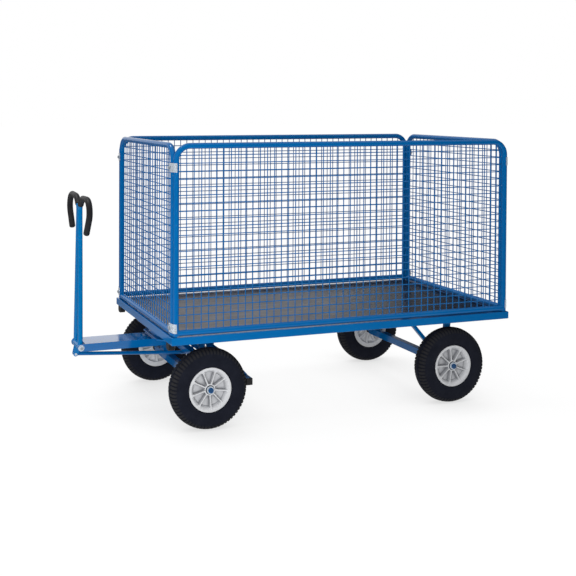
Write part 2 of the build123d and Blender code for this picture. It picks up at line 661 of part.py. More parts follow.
# Handle hinge
bolt_turn = Rot(90, 0, 0)
bolt_length = ARM_WIDTH + 2 * SEAT + HINGE_NUT
flange_r = HINGE_FLANGE / 2
hinge_bolt = hex_bolt(HINGE_ACROSS, HINGE_HEAD, HINGE_BOLT, bolt_length)
hinge_bolt += rod_z(0, 0, flange_r, -HINGE_FLANGE_THICKNESS, 0)
save("hinge_bolt", Pos(hinge_x, arm_y + SEAT, hinge_z) * bolt_turn * hinge_bolt)
hinge_nut = hexagon(HINGE_ACROSS, HINGE_NUT) + rod_z(0, 0, flange_r, 0, HINGE_FLANGE_THICKNESS)
hinge_nut -= rod_z(0, 0, HINGE_BOLT / 2 + RUNNING, -CUT_PAST, HINGE_NUT + CUT_PAST)
save("hinge_nut", Pos(hinge_x, -arm_y - SEAT, hinge_z) * bolt_turn * hinge_nut)

# Handle: a sleeve on the hinge, two legs that meet and part into ram's horns, and a brake lever below
sleeve_y = arm_y - ARM_GAUGE - SEAT


def horn_path(side, points, bends):
    """One side's line through points of width and height, drawn in Y and Z from the hinge."""
    return FilletPolyline(*[(0, side * y, z) for y, z in points], radius=bends)


def tube_on(path, radius):
    """A round bar along a path."""
    return sweep(Plane(origin=path @ 0, z_dir=path % 0) * Circle(radius), path)


leg_points = [(LEG_SPREAD, 0), (LEG_MEETING, LEG_HEIGHT)]
horn_points = [(HORN_RISE_Y, HORN_RISE), (HORN_OUTER_Y, HORN_OUTER), (HORN_TIP_Y, HORN_TIP)]
leg_run = Vector(LEG_MEETING - LEG_SPREAD, LEG_HEIGHT)
rise_run = Vector(HORN_RISE_Y - LEG_MEETING, HORN_RISE - LEG_HEIGHT)
turn_half = radians(leg_run.get_angle(rise_run) / 2)
bend_end = HORN_BENDS[0] * sin(turn_half) / cos(turn_half)
grip_from = rise_run.normalized() * (bend_end + GRIP_START)
grip_r = LEG_DIAMETER / 2 + GRIP_WALL
grip_points = [(LEG_MEETING + grip_from.X, LEG_HEIGHT + grip_from.Y), *horn_points]

hinge_place = Pos(hinge_x, 0, hinge_z)
lean = hinge_place * Rot(0, HANDLE_LEAN, 0)
bolt_bore = rod_y(0, 0, HINGE_BOLT / 2 + RUNNING, -ARM_WIDTH, ARM_WIDTH)
handle = rod_y(0, 0, SLEEVE_DIAMETER / 2, -sleeve_y, sleeve_y)
for side in (-1, 1):
    core = tube_on(horn_path(side, leg_points + horn_points, HORN_BENDS), LEG_DIAMETER / 2)
    handle += core
    grip_path = horn_path(side, grip_points, HORN_BENDS[1:])
    grip = tube_on(grip_path, grip_r)
    tip = grip_path @ 1
    grip += Plane(origin=tip, z_dir=grip_path % 1) * extrude(Circle(grip_r), GRIP_END, taper=20)
    grip -= tube_on(horn_path(side, leg_points + horn_points, HORN_BENDS), LEG_DIAMETER / 2 + SEAT)
    save("far_grip" if side > 0 else "near_grip", lean * grip)
handle -= bolt_bore
lever_face = link_face((0, 0), (-LEVER_AHEAD, -LEVER_DROP), SLEEVE_DIAMETER / 2, LEVER_END)
lever_face -= Circle(HINGE_BOLT / 2 + RUNNING)
lever_face -= Pos(-LEVER_AHEAD, -LEVER_DROP) * Circle(BRAKE_PIN / 2 + RUNNING)
handle = lean * handle
for plate in both_sides(plate_y(lever_face, lever_gap / 2, lever_gap / 2 + LEVER_PLATE)):
    handle += hinge_place * plate
save("handle_frame", handle)
pin_y = lever_gap / 2 + LEVER_PLATE
save("brake_pin", rod_y(*lever_pin, BRAKE_PIN / 2, -pin_y, pin_y))

# Brake rod: an eye on the lever pin, a tube, and a stirrup round the crank pin
eye_y = lever_gap / 2 - SEAT
eye = rod_y(*lever_pin, ROD_EYE / 2, -eye_y, eye_y)
pin_r = BRAKE_CRANK_PIN / 2
window_rear = crank_pin[0] + pin_r + 2 * SEAT
window_front = crank_pin[0] - pin_r - 2 * SEAT - STIRRUP_PLAY
window_mid = ((window_front + window_rear) / 2, crank_pin[1] + STIRRUP_LIFT)
window_length = window_rear - window_front
ring_length, ring_height = window_length + 2 * STIRRUP_WALL, STIRRUP_HEIGHT + 2 * STIRRUP_WALL
ring_face = RectangleRounded(ring_length, ring_height, STIRRUP_WALL)
ring_face -= RectangleRounded(window_length, STIRRUP_HEIGHT, pin_r)
tang_rear = window_front - STIRRUP_WALL / 2
tang_face = Rectangle(STIRRUP_TANG, ROD_DIAMETER, align=(Align.MAX, Align.CENTER))
stirrup_face = Pos(*window_mid) * ring_face + Pos(tang_rear, crank_pin[1]) * tang_face
stirrup = plate_y(stirrup_face, -STIRRUP_THICKNESS / 2, STIRRUP_THICKNESS / 2)
rod_from = Vector(lever_pin[0], 0, lever_pin[1])
rod_run = Vector(tang_rear - STIRRUP_TANG / 2, 0, crank_pin[1]) - rod_from
rod = Plane(origin=rod_from, z_dir=rod_run) * extrude(Circle(ROD_DIAMETER / 2), rod_run.length)
brake_rod = eye + rod + stirrup
save("brake_rod", brake_rod - rod_y(*lever_pin, BRAKE_PIN / 2 + RUNNING, -ROD_DIAMETER, ROD_DIAMETER))

# Brake frame: a shaft in two brackets, a crank, two arms and a bar that bears on both front tyres
brake_arm_y = tyre_inner_y - BRAKE_ARM_TO_TYRE - BRAKE_ARM_THICKNESS
shaft_end = brake_arm_y + BRAKE_ARM_THICKNESS + SHAFT_STAND_OUT
brake_shaft = rod_y(brake_shaft_x, brake_shaft_z, BRAKE_SHAFT / 2, -shaft_end, shaft_end)
crank_root = BRAKE_SHAFT / 2 + STIRRUP_WALL
crank_face = link_face((brake_shaft_x, brake_shaft_z), crank_pin, crank_root, BRAKE_CRANK_PIN)
crank_face -= Pos(*crank_pin) * Circle(pin_r + RUNNING)
crank_y = STIRRUP_THICKNESS / 2 + 2 * SEAT
for plate in both_sides(plate_y(crank_face, crank_y, crank_y + BRAKE_CRANK_PLATE)):
    brake_shaft += plate
save("brake_shaft", brake_shaft)
crank_pin_y = crank_y + BRAKE_CRANK_PLATE
save("brake_crank_pin", rod_y(*crank_pin, pin_r, -crank_pin_y, crank_pin_y))

arm_face = link_face((brake_shaft_x, brake_shaft_z), (brake_bar_x, brake_bar_z), BRAKE_ARM_WIDTH / 2 + SEAT,
                     BRAKE_ARM_EYE / 2)
arm_face -= Pos(brake_shaft_x, brake_shaft_z) * Circle(BRAKE_SHAFT / 2 + RUNNING)
arm_face -= Pos(brake_bar_x, brake_bar_z) * Rectangle(BRAKE_BAR + 2 * RUNNING, BRAKE_BAR + 2 * RUNNING)
save("brake_arms", *both_sides(plate_y(arm_face, brake_arm_y, brake_arm_y + BRAKE_ARM_THICKNESS)))

half_bar = BRAKE_BAR / 2
bar_in = half_bar - BRAKE_BAR_GAUGE
bar_y = wheel_y + BRAKE_BAR_PAST
bar_face = Rectangle(BRAKE_BAR, BRAKE_BAR) - Rectangle(2 * bar_in, 2 * bar_in)
save("brake_bar", plate_y(Pos(brake_bar_x, brake_bar_z) * bar_face, -bar_y, bar_y))
cap_head = plate_y(Pos(brake_bar_x, brake_bar_z) * Rectangle(BRAKE_BAR, BRAKE_BAR), bar_y, bar_y + BAR_CAP)
cap_head = fillet(cap_head.faces().sort_by(Axis.Y)[-1].edges(), BAR_CAP / 4)
plug_size = 2 * (bar_in - SEAT)
plug_face = Pos(brake_bar_x, brake_bar_z) * Rectangle(plug_size, plug_size)
cap_plug = plate_y(plug_face, bar_y - BAR_CAP_PLUG, bar_y)
save("brake_bar_caps", *both_sides(cap_head + cap_plug))

bracket_y = (BRACKET_TRACK - BRACKET_THICKNESS) / 2
bracket_face = Pos(brake_shaft_x, brake_shaft_z) * Circle(BRACKET_WIDTH / 2)
bracket_stem = Rectangle(BRACKET_WIDTH, arm_top - brake_shaft_z, align=(Align.CENTER, Align.MIN))
bracket_face += Pos(brake_shaft_x, brake_shaft_z) * bracket_stem
bracket_face -= Pos(brake_shaft_x, brake_shaft_z) * Circle(BRAKE_SHAFT / 2 + RUNNING)
save("brake_brackets", *both_sides(plate_y(bracket_face, bracket_y, bracket_y + BRACKET_THICKNESS)))

places = {"front axle": front_axle_x, "hinge": hinge_x, "lever pin": lever_pin[0],
          "brake shaft": brake_shaft_x, "rear axle": rear_axle_x}
print("X from the origin:", {name: round(x + deck_shift, 3) for name, x in places.items()})
print("deck shift", round(deck_shift, 3), "hinge z", hinge_z, "lever pin z", lever_pin[1])
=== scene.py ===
import json
from functools import partial
from math import cos, pi, radians, sin, sqrt

import bmesh
import bpy
from mathutils import Matrix, Vector

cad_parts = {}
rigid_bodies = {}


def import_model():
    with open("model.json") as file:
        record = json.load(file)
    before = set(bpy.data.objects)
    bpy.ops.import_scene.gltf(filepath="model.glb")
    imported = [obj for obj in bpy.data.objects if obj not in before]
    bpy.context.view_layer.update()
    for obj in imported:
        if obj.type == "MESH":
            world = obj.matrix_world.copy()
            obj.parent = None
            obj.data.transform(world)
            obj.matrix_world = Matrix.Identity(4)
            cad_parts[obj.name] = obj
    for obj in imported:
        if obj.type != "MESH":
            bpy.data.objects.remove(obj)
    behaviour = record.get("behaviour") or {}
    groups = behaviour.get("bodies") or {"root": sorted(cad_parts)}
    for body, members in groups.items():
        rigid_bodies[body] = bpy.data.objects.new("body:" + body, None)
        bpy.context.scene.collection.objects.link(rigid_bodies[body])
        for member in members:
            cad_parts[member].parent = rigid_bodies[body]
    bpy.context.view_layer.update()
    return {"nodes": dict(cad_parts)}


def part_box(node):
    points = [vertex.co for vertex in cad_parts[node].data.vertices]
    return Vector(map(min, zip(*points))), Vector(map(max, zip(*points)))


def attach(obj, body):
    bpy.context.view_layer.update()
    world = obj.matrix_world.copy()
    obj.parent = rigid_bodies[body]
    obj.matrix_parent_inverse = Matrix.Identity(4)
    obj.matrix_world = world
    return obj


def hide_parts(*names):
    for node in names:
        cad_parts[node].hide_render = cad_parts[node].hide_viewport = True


for stray in list(bpy.data.objects):
    bpy.data.objects.remove(stray)
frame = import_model()
scene = bpy.context.scene
scene.view_settings.view_transform = "Standard"

# Deck rim: four rectangular steel tubes, 40 mm high and 30 mm deep, mitred and welded into one frame.
# The corners are ground flush and the whole frame is powder-coated in a half-gloss traffic blue.


def fed(tree, made, inputs):
    """A node with its inputs linked or set, by name or number."""
    for key, value in inputs.items():
        if isinstance(value, bpy.types.NodeSocket):
            tree.links.new(value, made.inputs[key])
        else:
            made.inputs[key].default_value = value
    return made


def node(tree, kind, inputs, **settings):
    """A new node of a tree, with its settings and inputs."""
    made = tree.nodes.new(kind)
    for key, value in settings.items():
        setattr(made, key, value)
    return fed(tree, made, inputs)


def calc(tree, operation, *values):
    """A sum in a tree: numbers or sockets in, one socket out."""
    return node(tree, "ShaderNodeMath", dict(enumerate(values)), operation=operation).outputs[0]


def new_finish(name, roughness, metallic=0.0):
    """A material: its tree, its shader, and the place on the piece in metres that its patterns read."""
    material = bpy.data.materials.new(name)
    material.use_nodes = True
    tree = material.node_tree
    shader = fed(tree, tree.nodes["Principled BSDF"], {"Roughness": roughness, "Metallic": metallic})
    return material, tree, shader, tree.nodes.new("ShaderNodeTexCoord").outputs["Object"]


def speckle(tree, place, grains_per_metre, detail=3.0, stretch=None):
    """Soft random grains of a set size, drawn out along an axis where stretch says so."""
    if stretch:
        place = node(tree, "ShaderNodeMapping", {"Vector": place, "Scale": stretch}).outputs[0]
    grains = {"Vector": place, "Scale": grains_per_metre, "Detail": detail}
    return node(tree, "ShaderNodeTexNoise", grains).outputs["Fac"]


def shades(tree, factor, *stops):
    """Colours along a factor, given as (position, colour)."""
    ramp = node(tree, "ShaderNodeValToRGB", {"Fac": factor})
    for i, (position, colour) in enumerate(stops):
        stop = ramp.color_ramp.elements[i] if i < 2 else ramp.color_ramp.elements.new(position)
        stop.position, stop.color = position, (*colour, 1)
    return ramp.outputs["Color"]


def between(tree, factor, low, high, start=0.3, end=0.7):
    """A number that goes from low to high as a factor goes from start to end."""
    limits = {"Value": factor, "From Min": start, "From Max": end, "To Min": low, "To Max": high}
    return node(tree, "ShaderNodeMapRange", limits).outputs[0]


def raised(tree, shader, height, depth, strength=1.0):
    """Bump on a shader from a height, in metres."""
    bump = node(tree, "ShaderNodeBump", {"Height": height, "Distance": depth, "Strength": strength})
    fed(tree, shader, {"Normal": bump.outputs[0]})


def powder_coat(name, dark, body, thin, gloss=0.0):
    """Baked powder paint: orange-peel skin, slow drift of shade, and a thinner, paler coat on the edges."""
    material, tree, shader, place = new_finish(name, 0.2)
    drift = speckle(tree, place, 2.5)
    edge = between(tree, node(tree, "ShaderNodeNewGeometry", {}).outputs["Pointiness"], 0.0, 0.35, 0.53, 0.65)
    shade = calc(tree, "ADD", between(tree, drift, 0.2, 0.5), edge)
    colour = shades(tree, shade, (0.0, dark), (0.5, body), (1.0, thin))
    handling = between(tree, speckle(tree, place, 24.0, 6.0), 0.1, 0.16)
    fed(tree, shader, {"Base Color": colour, "Roughness": handling, "Specular IOR Level": 0.28,
                       "Coat Weight": gloss, "Coat Roughness": 0.1})
    raised(tree, shader, speckle(tree, place, 500.0, 2.0), 0.00005, 0.25)
    return material


blues = (0.0, 0.122, 0.38), (0.0, 0.142, 0.435), (0.004, 0.175, 0.49)
blue_paint = powder_coat("blue powder coat", *blues)


def rounded_rectangle(width, height, radius, steps=4):
    """Points round a rectangle with rounded corners."""
    points = []
    for across, up, start in ((width - radius, radius, -90), (width - radius, height - radius, 0),
                              (radius, height - radius, 90), (radius, radius, 180)):
        for i in range(steps + 1):
            turn = radians(start + 90 * i / steps)
            points.append((across + radius * cos(turn), up + radius * sin(turn)))
    return points


def outward(mesh):
    """A closed mesh with its faces turned outwards."""
    shell = bmesh.new()
    shell.from_mesh(mesh)
    bmesh.ops.recalc_face_normals(shell, faces=shell.faces)
    shell.to_mesh(mesh)
    shell.free()
    return mesh


def skinned(name, points, faces, material, crease=40):
    """A closed mesh of points and faces with its soft edges smooth."""
    mesh = bpy.data.meshes.new(name)
    mesh.from_pydata(points, [], faces)
    outward(mesh)
    mesh.materials.append(material)
    mesh.shade_smooth()
    mesh.set_sharp_from_angle(angle=radians(crease))
    return mesh


def in_scene(name, data):
    """A new object of the scene."""
    made = bpy.data.objects.new(name, data)
    scene.collection.objects.link(made)
    return made


def piece(name, mesh, body, slot, *nodes):
    """A finished mesh as a piece that rides on a body and stands for CAD nodes, which it hides. The slot is not
    used.
    """
    shape = in_scene(name, mesh)
    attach(shape, body)
    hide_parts(*nodes)
    return shape


def band(here, there, count):
    """Faces between two rings of so many points, from the first point of each."""
    return [(here + i, here + (i + 1) % count, there + (i + 1) % count, there + i) for i in range(count)]


rim_low, rim_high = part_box("deck_rim")
deck_mid = (rim_low.x + rim_high.x) / 2
rim_depth, rim_corner = 0.03, 0.003
rim_section = rounded_rectangle(rim_depth, rim_high.z - rim_low.z, rim_corner)
corners = [(rim_low.x, rim_low.y, 1, 1), (rim_high.x, rim_low.y, -1, 1),
           (rim_high.x, rim_high.y, -1, -1), (rim_low.x, rim_high.y, 1, -1)]
rim_points = [(x + in_x * depth, y + in_y * depth, rim_low.z + up)
              for x, y, in_x, in_y in corners for depth, up in rim_section]
count = len(rim_section)
rim_faces = [face for corner in range(4) for face in band(corner * count, (corner + 1) % 4 * count, count)]
rim_mesh = skinned("deck rim", rim_points, rim_faces, blue_paint)
rim_piece = piece("deck_rim_frame", rim_mesh, "chassis", "blue_paint", "deck_rim")
rim_piece.modifiers.new("even shading", "WEIGHTED_NORMAL").keep_sharp = True

# Deck board: 15 mm birch plywood with a dark brown phenolic film on both faces.
# It drops into the rim with a small gap all round.
# The film has a fine pressed screen pattern and light scuffs.


def softened(cad_node, width, material, crease=32):
    """A copy of a CAD node's solid, its loose triangles merged and its sharp edges rounded."""
    mesh = frame["nodes"][cad_node].data.copy()
    shell = bmesh.new()
    shell.from_mesh(mesh)
    bmesh.ops.remove_doubles(shell, verts=shell.verts, dist=1e-6)
    bmesh.ops.dissolve_limit(shell, angle_limit=radians(0.5), verts=shell.verts, edges=shell.edges)
    shell.to_mesh(mesh)
    shell.free()
    mesh.materials.clear()
    mesh.materials.append(material)
    mesh.shade_smooth()
    mesh.set_sharp_from_angle(angle=radians(crease))
    carrier = in_scene("carrier", mesh)
    bevel = carrier.modifiers.new("rounded edges", "BEVEL")
    bevel.width, bevel.segments = width, 2
    bevel.limit_method, bevel.angle_limit = "ANGLE", radians(crease)
    bevel.harden_normals = True
    return taken(carrier)


def taken(carrier):
    """The plain mesh that an object's modifiers make. The object itself is removed."""
    graph = bpy.context.evaluated_depsgraph_get()
    mesh = bpy.data.meshes.new_from_object(carrier.evaluated_get(graph), depsgraph=graph)
    carrier.modifiers.clear()
    bpy.data.objects.remove(carrier)
    return mesh


def dressed(cad_nodes, body, slot, material, width):
    """Stands a softened copy in for each of several CAD nodes of one body."""
    for cad_node in cad_nodes:
        piece(cad_node + "_finished", softened(cad_node, width, material), body, slot, cad_node)


def phenolic_film():
    """Brown film: pressed screen pattern, cloudy tone, painted light fading towards the rear, rubbed patches.
    """
    material, tree, shader, place = new_finish("phenolic film", 0.4)
    cloud = speckle(tree, place, 3.5, 5.0)
    along = node(tree, "ShaderNodeSeparateXYZ", {0: place}).outputs["X"]
    # Painted light: the film is drawn lightest at the front end and darkest at the rear, under a cloudy tone.
    dust_and_shade = calc(tree, "ADD", between(tree, along, 0.85, -0.2, -0.5, 1.05), between(tree, cloud, -0.1, 0.1))
    brown = shades(tree, dust_and_shade, (0.0, (0.004, 0.004, 0.005)), (0.45, (0.03, 0.027, 0.03)),
                   (1.0, (0.092, 0.083, 0.088)))
    rubbed = speckle(tree, place, 9.0, 7.0, (1.0, 6.0, 1.0))
    matt = calc(tree, "ADD", between(tree, along, 0.36, 0.24, -0.3, 1.1), between(tree, rubbed, -0.05, 0.05))
    fed(tree, shader, {"Base Color": brown, "Roughness": matt, "Specular IOR Level": 0.3})
    threads = []
    for turn in (45, -45):
        turned = node(tree, "ShaderNodeMapping", {"Vector": place, "Rotation": (0, 0, radians(turn))})
        wave = node(tree, "ShaderNodeTexWave", {"Vector": turned.outputs[0], "Scale": 90.0})
        threads.append(wave.outputs["Fac"])
    raised(tree, shader, calc(tree, "MULTIPLY", *threads), 0.0002, 0.35)
    return material


dressed(["deck_board"], "chassis", "plywood", phenolic_film(), width=0.0012)

# Cross members and turntable bearers: rectangular tubes welded between the side rims under the board.
# Painted with the rim in one coat.
painted = partial(dressed, slot="blue_paint", material=blue_paint)
painted(["cross_members", "turntable_bearers"], "chassis", width=0.002)

# Wall hoops: 30 mm round tube bent to 72 mm radius at the two top corners, with a rail welded in below.
# A steel peg in the foot of each post drops into the rim. Weld beads show under the paint at the rail's ends.


def tree_with(name, **inputs):
    """A Geometry Nodes tree with named inputs, listed by their kind, and one geometry output."""
    tree = bpy.data.node_groups.new(name, "GeometryNodeTree")
    tree.interface.new_socket("Geometry", in_out="OUTPUT", socket_type="NodeSocketGeometry")
    for kind, labels in inputs.items():
        for label in labels:
            tree.interface.new_socket(label, in_out="INPUT", socket_type="NodeSocket" + kind)
    return tree, tree.nodes.new("NodeGroupInput").outputs


def geo(tree, kind, inputs, **settings):
    """Adds a geometry node to a tree and gives its first output."""
    return node(tree, "GeometryNode" + kind, inputs, **settings).outputs[0]


def united(tree, *parts):
    """Several geometries of a tree as one."""
    join = tree.nodes.new("GeometryNodeJoinGeometry")
    for part in parts:
        tree.links.new(part, join.inputs[0])
    return join.outputs[0]


def end_tree(tree, geometry, material):
    """Closes a tree: every copy made real, shaded smooth, and given its material."""
    whole = geo(tree, "RealizeInstances", {"Geometry": geometry})
    smooth = geo(tree, "SetShadeSmooth", {0: whole})
    painted = geo(tree, "SetMaterial", {"Geometry": smooth, "Material": material})
    node(tree, "NodeGroupOutput", {0: painted})


def grown(tree, seed, sizes, crease=40):
    """Runs a tree over a seed mesh with its named sizes, and gives the result as a plain mesh."""
    carrier = in_scene("carrier", seed)
    modifier = carrier.modifiers.new(tree.name, "NODES")
    modifier.node_group = tree
    for item in tree.interface.items_tree:
        if item.in_out == "INPUT" and item.name in sizes:
            modifier[item.identifier] = sizes[item.name]
    mesh = taken(carrier)
    mesh.set_sharp_from_angle(angle=radians(crease))
    return mesh


def route(*lines):
    """A seed mesh of open lines, each a list of (point, bend radius)."""
    points, bends, edges = [], [], []
    for line in lines:
        edges += [(i, i + 1) for i in range(len(points), len(points) + len(line) - 1)]
        points += [point for point, bend in line]
        bends += [bend for point, bend in line]
    mesh = bpy.data.meshes.new("route")
    mesh.from_pydata(points, edges, [])
    mesh.attributes.new("bend", "FLOAT", "POINT").data.foreach_set("value", bends)
    return mesh


def joined(*meshes):
    """Several meshes as one, each with its own materials."""
    parts = [in_scene("carrier", mesh) for mesh in meshes]
    with bpy.context.temp_override(active_object=parts[0], object=parts[0], selected_editable_objects=parts,
                                   selected_objects=parts):
        bpy.ops.object.join()
    mesh = parts[0].data
    bpy.data.objects.remove(parts[0])
    return mesh


def moved(mesh, place):
    """A mesh carried to its place."""
    mesh.transform(place)
    return mesh


tube_tree, given = tree_with("bent tube", Geometry=["Route"], Float=["Tube radius"],
                             Int=["Sides", "Bend steps"], Bool=["Domed ends"], Material=["Paint"])
bent = partial(geo, tube_tree)
line = bent("MeshToCurve", {"Mesh": given["Route"]})
bend = bent("InputNamedAttribute", {"Name": "bend"}, data_type="FLOAT")
axis = bent("FilletCurve", {"Curve": line, "Count": given["Bend steps"], "Radius": bend, "Limit Radius": True},
            mode="POLY")
ring = bent("CurvePrimitiveCircle", {"Resolution": given["Sides"], "Radius": given["Tube radius"]})
wall = bent("CurveToMesh", {"Curve": axis, "Profile Curve": ring, "Fill Caps": True})
ball = bent("MeshUVSphere", {"Segments": given["Sides"], "Rings": 12, "Radius": given["Tube radius"]})
tangent = bent("InputTangent", {})
aim = node(tube_tree, "FunctionNodeAlignRotationToVector", {"Vector": tangent}, axis="Z").outputs[0]
tips = bent("CurveEndpointSelection", {})
domes = bent("InstanceOnPoints", {"Points": axis, "Selection": tips, "Instance": ball, "Rotation": aim,
                                  "Scale": (1.0, 1.0, 0.5)})
shown = bent("Switch", {"Switch": given["Domed ends"], "True": domes}, input_type="GEOMETRY")
end_tree(tube_tree, united(tube_tree, wall, shown), given["Paint"])

bead_tree, given = tree_with("weld bead", Geometry=["Seam"], Float=["Bead radius", "Ripple"],
                             Material=["Paint"])
seam = geo(bead_tree, "MeshToCurve", {"Mesh": given["Seam"]})
steps = geo(bead_tree, "ResampleCurve", {"Curve": seam, "Length": given["Ripple"]}, mode="LENGTH")
drop = geo(bead_tree, "MeshIcoSphere", {"Radius": given["Bead radius"], "Subdivisions": 2})
drops = geo(bead_tree, "InstanceOnPoints", {"Points": steps, "Instance": drop})
end_tree(bead_tree, drops, given["Paint"])


def tube(radius, *lines, sides=24, domed=False, material=blue_paint):
    """Round tube along one or more routes."""
    return grown(tube_tree, route(*lines), {"Tube radius": radius, "Sides": sides, "Bend steps": 14,
                                            "Domed ends": domed, "Paint": material})


def bead(*seams, radius=0.0024, ripple=0.0026, material=blue_paint):
    """Weld bead along one or more seams, each a list of points."""
    lines = [[(point, 0.0) for point in seam] for seam in seams]
    return grown(bead_tree, route(*lines), {"Bead radius": radius, "Ripple": ripple, "Paint": material})


wall_r, wall_bend = 0.015, 0.072
wall_crown, wall_foot, rail_z = 1.45, 0.501, 0.516
peg_r, peg_foot = 0.007, 0.466
side_reach, side_plane = 0.974, 0.505
end_reach, end_plane = 0.47499, 0.98
seam_steps, bead_inset = 24, 0.0006
round_turns = [2 * pi * i / seam_steps for i in range(seam_steps + 1)]


def stood(x, y, heading):
    """A place beside the deck's middle, turned about the upright."""
    return Matrix.Translation((deck_mid + x, y, 0)) @ Matrix.Rotation(heading, 4, "Z")


walls = {"far": (side_reach, stood(0, side_plane, 0)), "near": (side_reach, stood(0, -side_plane, pi)),
         "rear": (end_reach, stood(end_plane, 0, -pi / 2)), "front": (end_reach, stood(-end_plane, 0, pi / 2))}
for side, (reach, place) in walls.items():
    hoop = [((-reach, 0, wall_foot), 0.0), ((-reach, 0, wall_crown), wall_bend),
            ((reach, 0, wall_crown), wall_bend), ((reach, 0, wall_foot), 0.0)]
    rail = [((-reach, 0, rail_z), 0.0), ((reach, 0, rail_z), 0.0)]
    pegs = [[((x, 0, peg_foot), 0.0), ((x, 0, wall_foot + wall_r), 0.0)] for x in (-reach, reach)]
    seams = [[(end * (reach - wall_r * abs(sin(a)) - bead_inset), wall_r * cos(a), rail_z + wall_r * sin(a))
              for a in round_turns] for end in (-1, 1)]
    whole = joined(tube(wall_r, hoop, rail, sides=28), tube(peg_r, *pegs), bead(*seams))
    piece(side + "_wall_hoop", moved(whole, place), "chassis", "blue_paint", side + "_wall_frame")

# Wire mesh of the walls: 4 mm wires on a 40 mm square pitch, drawn at 5 mm to hold the photo's tone.
# Uprights lie outside and level wires inside, spot-welded into a small squeezed nugget where they cross.
# The ends are welded into the hoop, and the mesh is painted with it.
wire_tree, given = tree_with("wire wall", Geometry=["Seed"], Int=["Columns", "Rows"], Material=["Paint"],
                             Float=["Half span", "Bottom", "Crown", "Bend radius", "Tube inside", "Pitch",
                                    "Wire radius", "Layer", "Nugget"])


def vector(tree, x, y, z):
    """Three numbers of a tree as one vector."""
    return node(tree, "ShaderNodeCombineXYZ", {"X": x, "Y": y, "Z": z}).outputs[0]


wire, wire_sum, wire_vector = (partial(made, wire_tree) for made in (geo, calc, vector))
wire_times, wire_less = partial(wire_sum, "MULTIPLY"), partial(wire_sum, "SUBTRACT")
bend_in = wire_less(given["Bend radius"], given["Tube inside"])
bend_x = wire_less(given["Half span"], given["Bend radius"])
bend_z = wire_less(given["Crown"], given["Bend radius"])
top_z = wire_sum("ADD", bend_z, bend_in)
middle_z = wire_times(wire_sum("ADD", top_z, given["Bottom"]), 0.5)
spot = node(wire_tree, "ShaderNodeSeparateXYZ", {0: wire("InputPosition", {})}).outputs
past_x = wire_sum("MAXIMUM", wire_less(wire_sum("ABSOLUTE", spot["X"]), bend_x), 0.0)
past_z = wire_sum("MAXIMUM", wire_less(spot["Z"], bend_z), 0.0)


def wire_reach(past):
    """How far a wire runs past the start of a bend before it meets the hoop."""
    return wire_sum("SQRT", wire_less(wire_times(bend_in, bend_in), wire_times(past, past)))


def wire_row(count, start, step, shift, turn, length):
    """A row of like wires: a line of points, with a wire of its own length on each."""
    points = wire("MeshLine", {"Count": count, "Start Location": start, "Offset": step}, mode="OFFSET")
    rod = wire("MeshCylinder", {"Vertices": 10, "Radius": given["Wire radius"], "Depth": 1.0})
    placed = wire("SetPosition", {"Geometry": points, "Offset": shift})
    return wire("InstanceOnPoints", {"Points": placed, "Instance": rod, "Rotation": turn,
                                     "Scale": wire_vector(1.0, 1.0, length)})


def wire_half(count):
    """Half the width of a row of so many wires."""
    return wire_times(wire_times(wire_less(count, 1.0), given["Pitch"]), 0.5)


half_width, half_height = wire_half(given["Columns"]), wire_half(given["Rows"])
upright_top = wire_sum("ADD", bend_z, wire_reach(past_x))
upright_length = wire_less(upright_top, given["Bottom"])
upright_mid = wire_times(wire_sum("ADD", upright_top, given["Bottom"]), 0.5)
uprights = wire_row(given["Columns"], wire_vector(wire_times(half_width, -1.0), 0.0, 0.0),
                    wire_vector(given["Pitch"], 0.0, 0.0),
                    wire_vector(0.0, given["Layer"], upright_mid), (0.0, 0.0, 0.0), upright_length)
level_length = wire_times(wire_sum("ADD", bend_x, wire_reach(past_z)), 2.0)
levels = wire_row(given["Rows"], wire_vector(0.0, 0.0, wire_less(middle_z, half_height)),
                  wire_vector(0.0, 0.0, given["Pitch"]),
                  wire_vector(0.0, wire_times(given["Layer"], -1.0), 0.0), (0.0, pi / 2, 0.0), level_length)
grid = wire("MeshGrid", {"Size X": wire_times(half_width, 2.0), "Size Y": wire_times(half_height, 2.0),
                         "Vertices X": given["Columns"], "Vertices Y": given["Rows"]})
crossings = wire("Transform", {"Geometry": grid, "Translation": wire_vector(0.0, 0.0, middle_z),
                               "Rotation": (pi / 2, 0.0, 0.0)})
corner_reach = wire_sum("ADD", wire_times(past_x, past_x), wire_times(past_z, past_z))
inside_hoop = wire_sum("LESS_THAN", corner_reach, wire_times(bend_in, bend_in))
nugget = wire("MeshIcoSphere", {"Radius": given["Nugget"], "Subdivisions": 1})
nuggets = wire("InstanceOnPoints", {"Points": crossings, "Selection": inside_hoop, "Instance": nugget})
end_tree(wire_tree, united(wire_tree, uprights, levels, nuggets), given["Paint"])

wire_pitch, wire_r, tube_inside = 0.04, 0.0025, 0.0142
wire_layer, nugget_r = 0.0023, 0.0032
wire_counts = {side_reach: (47, 22), end_reach: (22, 22)}
wire_paint = powder_coat("wire powder coat", (0.006, 0.127, 0.37), (0.01, 0.144, 0.41), (0.016, 0.165, 0.46))
for side, (reach, place) in walls.items():
    columns, rows = wire_counts[reach]
    sizes = {"Half span": reach, "Bottom": rail_z + tube_inside, "Crown": wall_crown,
             "Bend radius": wall_bend, "Tube inside": tube_inside, "Pitch": wire_pitch, "Wire radius": wire_r,
             "Layer": wire_layer, "Columns": columns, "Rows": rows, "Nugget": nugget_r, "Paint": wire_paint}
    wires = grown(wire_tree, bpy.data.meshes.new("seed"), sizes)
    piece(side + "_wall_wires", moved(wires, place), "chassis", "blue_paint", side + "_wall_mesh")

# Corner clips: 2.5 mm galvanised strip bent round each pair of posts, 46 mm high, two to a corner.
# A zinc-plated M8 hexagon bolt on a washer holds each clip to the end wall's post.
# Its head is drawn 16 mm across, larger than the CAD's 13 mm.


